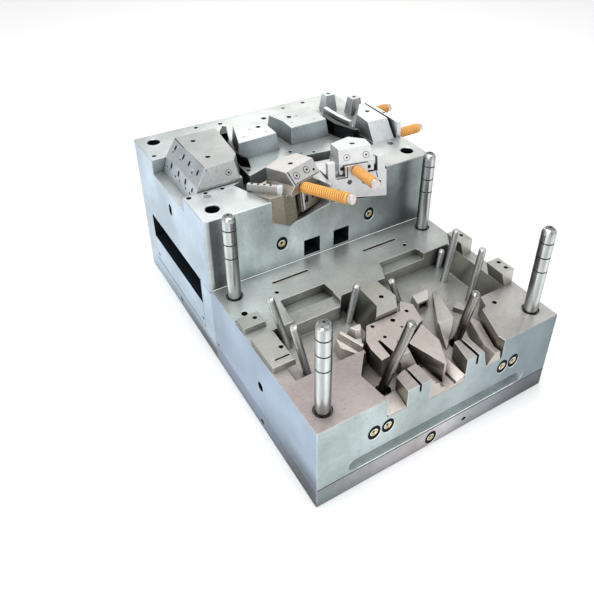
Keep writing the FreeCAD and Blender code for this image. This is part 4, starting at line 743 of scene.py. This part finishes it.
def cavity_plate_lines():
    """A painted highlight along the rear edge of the top face, the lips of the long groove with a painted
    highlight on the lower one, and the floors of two shallow slots.
    """
    work = Fittings("cavity_plate_lines", "fixed_half", [GLEAM, LINE, INSERT])
    for y, z, reach, normal, width, look, high in (
        # Painted highlights on the top's rear edge and the groove's lower lip; dark lines on its upper lip
        # and above the clamp plate
        (HALF_L - 0.0020, TOP_Z, 0.296, UP, 1.6, GLEAM, 0.2),
        (FIXED_FRONT, GROOVE_Z[1] - 0.0004, GROOVE_STRAIGHT, FORWARD, 1.0, LINE, 0.05),
        (FIXED_FRONT, GROOVE_Z[0] + 0.0002, GROOVE_STRAIGHT, FORWARD, 1.6, GLEAM, 0.1),
        (FIXED_FRONT, CLAMP_Z - 0.0008, 0.298, FORWARD, 1.2, LINE, 0.05),
    ):
        work.seam([(-reach, y, z), (reach, y, z)], normal, width, look, high)
    outline = [(-44, -4), (44, -4), (47, 4), (-47, 4)]
    for x, y in ((-0.124, 0.1708), (0.1225, 0.1668)):
        work.plate((x, y, TOP_Z), UP, outline, -0.4, 0.12, INSERT, (0, 1, 0))
    work.done()


def pillar_centre_holes():
    # Dark discs in painted shade for the centre holes in the pillars' tops
    work = Fittings("pillar_centre_holes", "fixed_half", [HOLLOW_SHADE])
    for x, y in PILLARS:
        work.disc((x, y, PILLAR_TOP), UP, 2.6, HOLLOW_SHADE, 0.15, 16, low=-0.1)
    work.done()


def front_left_fittings():
    """Screws, a hole drawn as a disc in painted shade, and two lines on the slanted plate of the front left
    slide.
    """
    bevel, on_bevel = slanted_plate(LEFT_AT(-14, -11, 103), LEFT_AT(70, -15, 103), LEFT_AT(-14, 10, 132))
    work = Fittings("front_left_fittings", "front_left_slide_unit", [NOSE, LINE, HOLLOW_SHADE, BRIGHT])
    for s, t in ((0.26, 0.52), (0.66, 0.55)):
        work.screw(on_bevel(s, t), bevel, 7.5, NOSE)
    work.disc(on_bevel(0.88, 0.35), bevel, 3.0, HOLLOW_SHADE)
    work.seam([on_bevel(0.06, 0.95), on_bevel(0.06, 0.03)], bevel, 2.2, LINE)
    work.seam([on_bevel(0.10, 0.06), on_bevel(0.97, 0.06)], bevel, 1.6, LINE)
    work.done()


def front_left_rib():
    """Upright rib along the wing of the front left slide, with a row of holes in its top drawn as discs in
    painted shade, and a bright end.
    """
    work = Fittings("front_left_rib", "front_left_slide_unit", [NOSE, HOLLOW_SHADE, BRIGHT])
    tip, root = Vector((-165.0, 297.0, 386.0)), Vector((-113.5, 230.5, 397.0))
    along = (root - tip).normalized()
    behind = Vector((0.79, 0.61, 0.0))
    tall, deep = 21.0, 8.0
    work.wall(tip, root, behind, deep, -1.0, tall, NOSE)
    cap = root - behind * 1.2
    work.wall(cap - along * 10, cap + along * 1.0, behind, deep + 1.6, -2.0, tall + 1.0, BRIGHT)
    for share in (0.14, 0.32, 0.50, 0.68):
        spot = tip + (root - tip) * share + behind * (deep / 2) + Vector((0, 0, tall))
        work.disc(spot * MM, UP, 3.0, HOLLOW_SHADE, 0.4)
    work.done()


def front_left_stop_fittings():
    """Two slots drawn as plates in painted shade, a bright strip and a dark line on the stop plate of the
    front left slide.
    """
    work = Fittings("front_left_stop_fittings", "moving_half", [LINE, HOLLOW_SHADE, BRIGHT])
    face_y = -4
    face = way_out(LEFT_AT)
    for x, z in ((29, 52), (58, 54)):
        work.slot(LEFT_AT(x, face_y, z), face, 8, 17)
    work.seam([LEFT_AT(17, face_y, 98), LEFT_AT(17, face_y, 32)], face, 5.0, BRIGHT)
    work.seam([LEFT_AT(13.6, face_y, 98), LEFT_AT(13.6, face_y, 30)], face, 1.8, LINE)
    work.done()


def front_right_fittings():
    """Two screws with sockets and rings in painted shade on the slanted face of the front right slide, and
    two holes below it drawn as discs in painted shade.
    """
    bevel, on_bevel = slanted_plate(RIGHT_AT(-41, 9, 105), RIGHT_AT(45, 1, 105), RIGHT_AT(-37, 20, 139))
    work = Fittings("front_right_fittings", "front_right_slide_unit", [BRIGHT, LINE, HOLLOW_SHADE])
    for x in (-22, 26):
        spot = on_bevel((x + 41) / 86, 0.42)
        work.washer(spot, bevel, 5.6, 7.8, LINE, 0.1)
        work.disc(spot, bevel, 6.9, BRIGHT, 0.25)
        work.disc(spot, bevel, 2.7, LINE, 0.4, 6)
    for x, y, z in ((59.1, 252.6, 402.6), (124.6, 236.4, 398.3)):
        work.disc((x * MM, y * MM, z * MM), way_out(RIGHT_AT), 4.6, HOLLOW_SHADE, 0.6)
    work.done()


def front_right_stop_fittings():
    """Angled joints and two screws on the stop plate of the front right slide."""
    work = Fittings("front_right_stop_fittings", "moving_half", [LINE, HOLLOW_SHADE, SCREW])
    face = way_out(RIGHT_AT)
    work.seam([RIGHT_AT(-25, 0, 100), RIGHT_AT(-25, 0, 75), RIGHT_AT(-52, 0, 76)], face, 2.2, LINE)
    work.seam([RIGHT_AT(50, 0, 74), RIGHT_AT(54, 0, 60)], face, 2.0, LINE)
    for x, z in ((-20, 62), (18, 56)):
        work.disc(RIGHT_AT(x, 0, z), face, 6, SCREW, 0.3)
    work.done()


left_slide_fittings()
coupling_rims("fixed_coupling_rims", "cavity_plate", "fixed_couplings", "fixed_half", FIXED_FRONT,
              ((-174, 136), (-142, 136), (154, 133), (185, 134)))
coupling_rims("clamp_coupling_rim", "fixed_clamp_plate", "fixed_couplings", "fixed_half", FIXED_FRONT,
              ((-24, 23),))
coupling_rims("moving_coupling_rims", "core_plate", "moving_couplings", "moving_half", MOVING_FRONT,
              ((-118, 272), (124, 272)))
cavity_plate_lines()
pillar_centre_holes()
front_left_fittings()
front_left_rib()
front_left_stop_fittings()
front_right_fittings()
front_right_stop_fittings()


# Floor, light, camera

floor_mesh = bpy.data.meshes.new("floor")
made = bmesh.new()
bmesh.ops.create_grid(made, x_segments=1, y_segments=1, size=6)
made.to_mesh(floor_mesh)
made.free()
floor = bpy.data.objects.new("floor", floor_mesh)
scene.collection.objects.link(floor)
floor.location = (0, 0.2, -0.0006)
pale = bpy.data.materials.new("pale_floor")
pale.use_nodes = True
pale_shader = pale.node_tree.nodes["Principled BSDF"]
pale_shader.inputs["Base Color"].default_value = (0.9, 0.9, 0.9, 1)
pale_shader.inputs["Roughness"].default_value = 0.9
floor.data.materials.append(pale)

# A white room. Polished faces mirror upright bands of it, brighter and darker by turns.
WHITE = (1.0, 1.0, 1.0)
ROOM_BANDS = 5.0

world = bpy.data.worlds.new("studio")
scene.world = world
world.use_nodes = True
tree = world.node_tree
background = tree.nodes["Background"]
path = tree.nodes.new("ShaderNodeLightPath")
where = tree.nodes.new("ShaderNodeTexCoord")
axes = split(tree, where.outputs["Generated"])
height = span(tree, axes["Z"], -1.0, 1.0)
soft_sky = ramp(tree, [(0.0, 0.80), (0.5, (0.74, 0.75, 0.76)), (1.0, (0.96, 0.96, 0.95))], height)
mirror_sky = ramp(tree, [(0.0, (0.80, 0.82, 0.84)), (0.5, 0.66), (0.60, (0.92, 0.91, 0.89)), (0.78, 0.84),
                         (1.0, 1.0)], height)
round_about = maths(tree, "ARCTAN2", axes["Y"], axes["X"])
swing = maths(tree, "SINE", maths(tree, "MULTIPLY", round_about, ROOM_BANDS))
mirror_sky = shaded(tree, mirror_sky, [(0.0, 0.62), (0.45, 0.95), (1.0, 1.08)], span(tree, swing, -1.0, 1.0))
room = mix(tree, "MIX", path.outputs["Is Glossy Ray"], soft_sky, mirror_sky)
seen = maths(tree, "MAXIMUM", path.outputs["Is Camera Ray"], path.outputs["Is Transmission Ray"])
link(tree, mix(tree, "MIX", seen, room, WHITE), background.inputs["Color"])
background.inputs["Strength"].default_value = 1.0


def lamp(name, place, aim, size, power, colour=WHITE):
    data = bpy.data.lights.new(name, "AREA")
    data.shape = "RECTANGLE"
    data.size, data.size_y = size
    data.energy = power
    data.color = colour
    item = bpy.data.objects.new(name, data)
    scene.collection.objects.link(item)
    item.location = place
    item.rotation_euler = (Vector(aim) - Vector(place)).to_track_quat("-Z", "Y").to_euler()


lamp("overhead", (-0.3, 0.0, 2.6), (0, 0.2, 0), (2.2, 1.6), 46)
lamp("window_back", (1.4, 2.6, 1.9), (0, 0.3, 0.2), (1.6, 1.2), 8, (1.0, 0.97, 0.93))
lamp("window_left", (-2.4, -1.6, 1.2), (0, 0.2, 0.2), (1.6, 1.4), 34, (0.90, 0.95, 1.0))

# Camera: picture size, focal length and middle of the view in picture points
PICTURE = (594, 591)
FOCAL = 649.685
MIDDLE = (315, 215)
SENSOR = 36
CAMERA_PLACE = (-0.6830, -0.8425, 1.1399)

camera_data = bpy.data.cameras.new("camera")
camera = bpy.data.objects.new("camera", camera_data)
scene.collection.objects.link(camera)
camera_data.sensor_width = SENSOR
camera_data.lens = FOCAL * SENSOR / PICTURE[0]
camera_data.shift_x = (PICTURE[0] / 2 - MIDDLE[0]) / PICTURE[0]
camera_data.shift_y = (MIDDLE[1] - PICTURE[1] / 2) / PICTURE[0]
camera_data.clip_start = 0.01
camera_data.clip_end = 50
across = Vector((0.85451, -0.51942, 0.00358))
down = Vector((-0.28201, -0.46971, -0.83657))
ahead = Vector((0.43621, 0.71385, -0.54786))
turn = Matrix((across, -down, -ahead)).transposed().to_4x4()
camera.matrix_world = Matrix.Translation(CAMERA_PLACE) @ turn
scene.camera = camera
scene.view_settings.view_transform = "Standard"
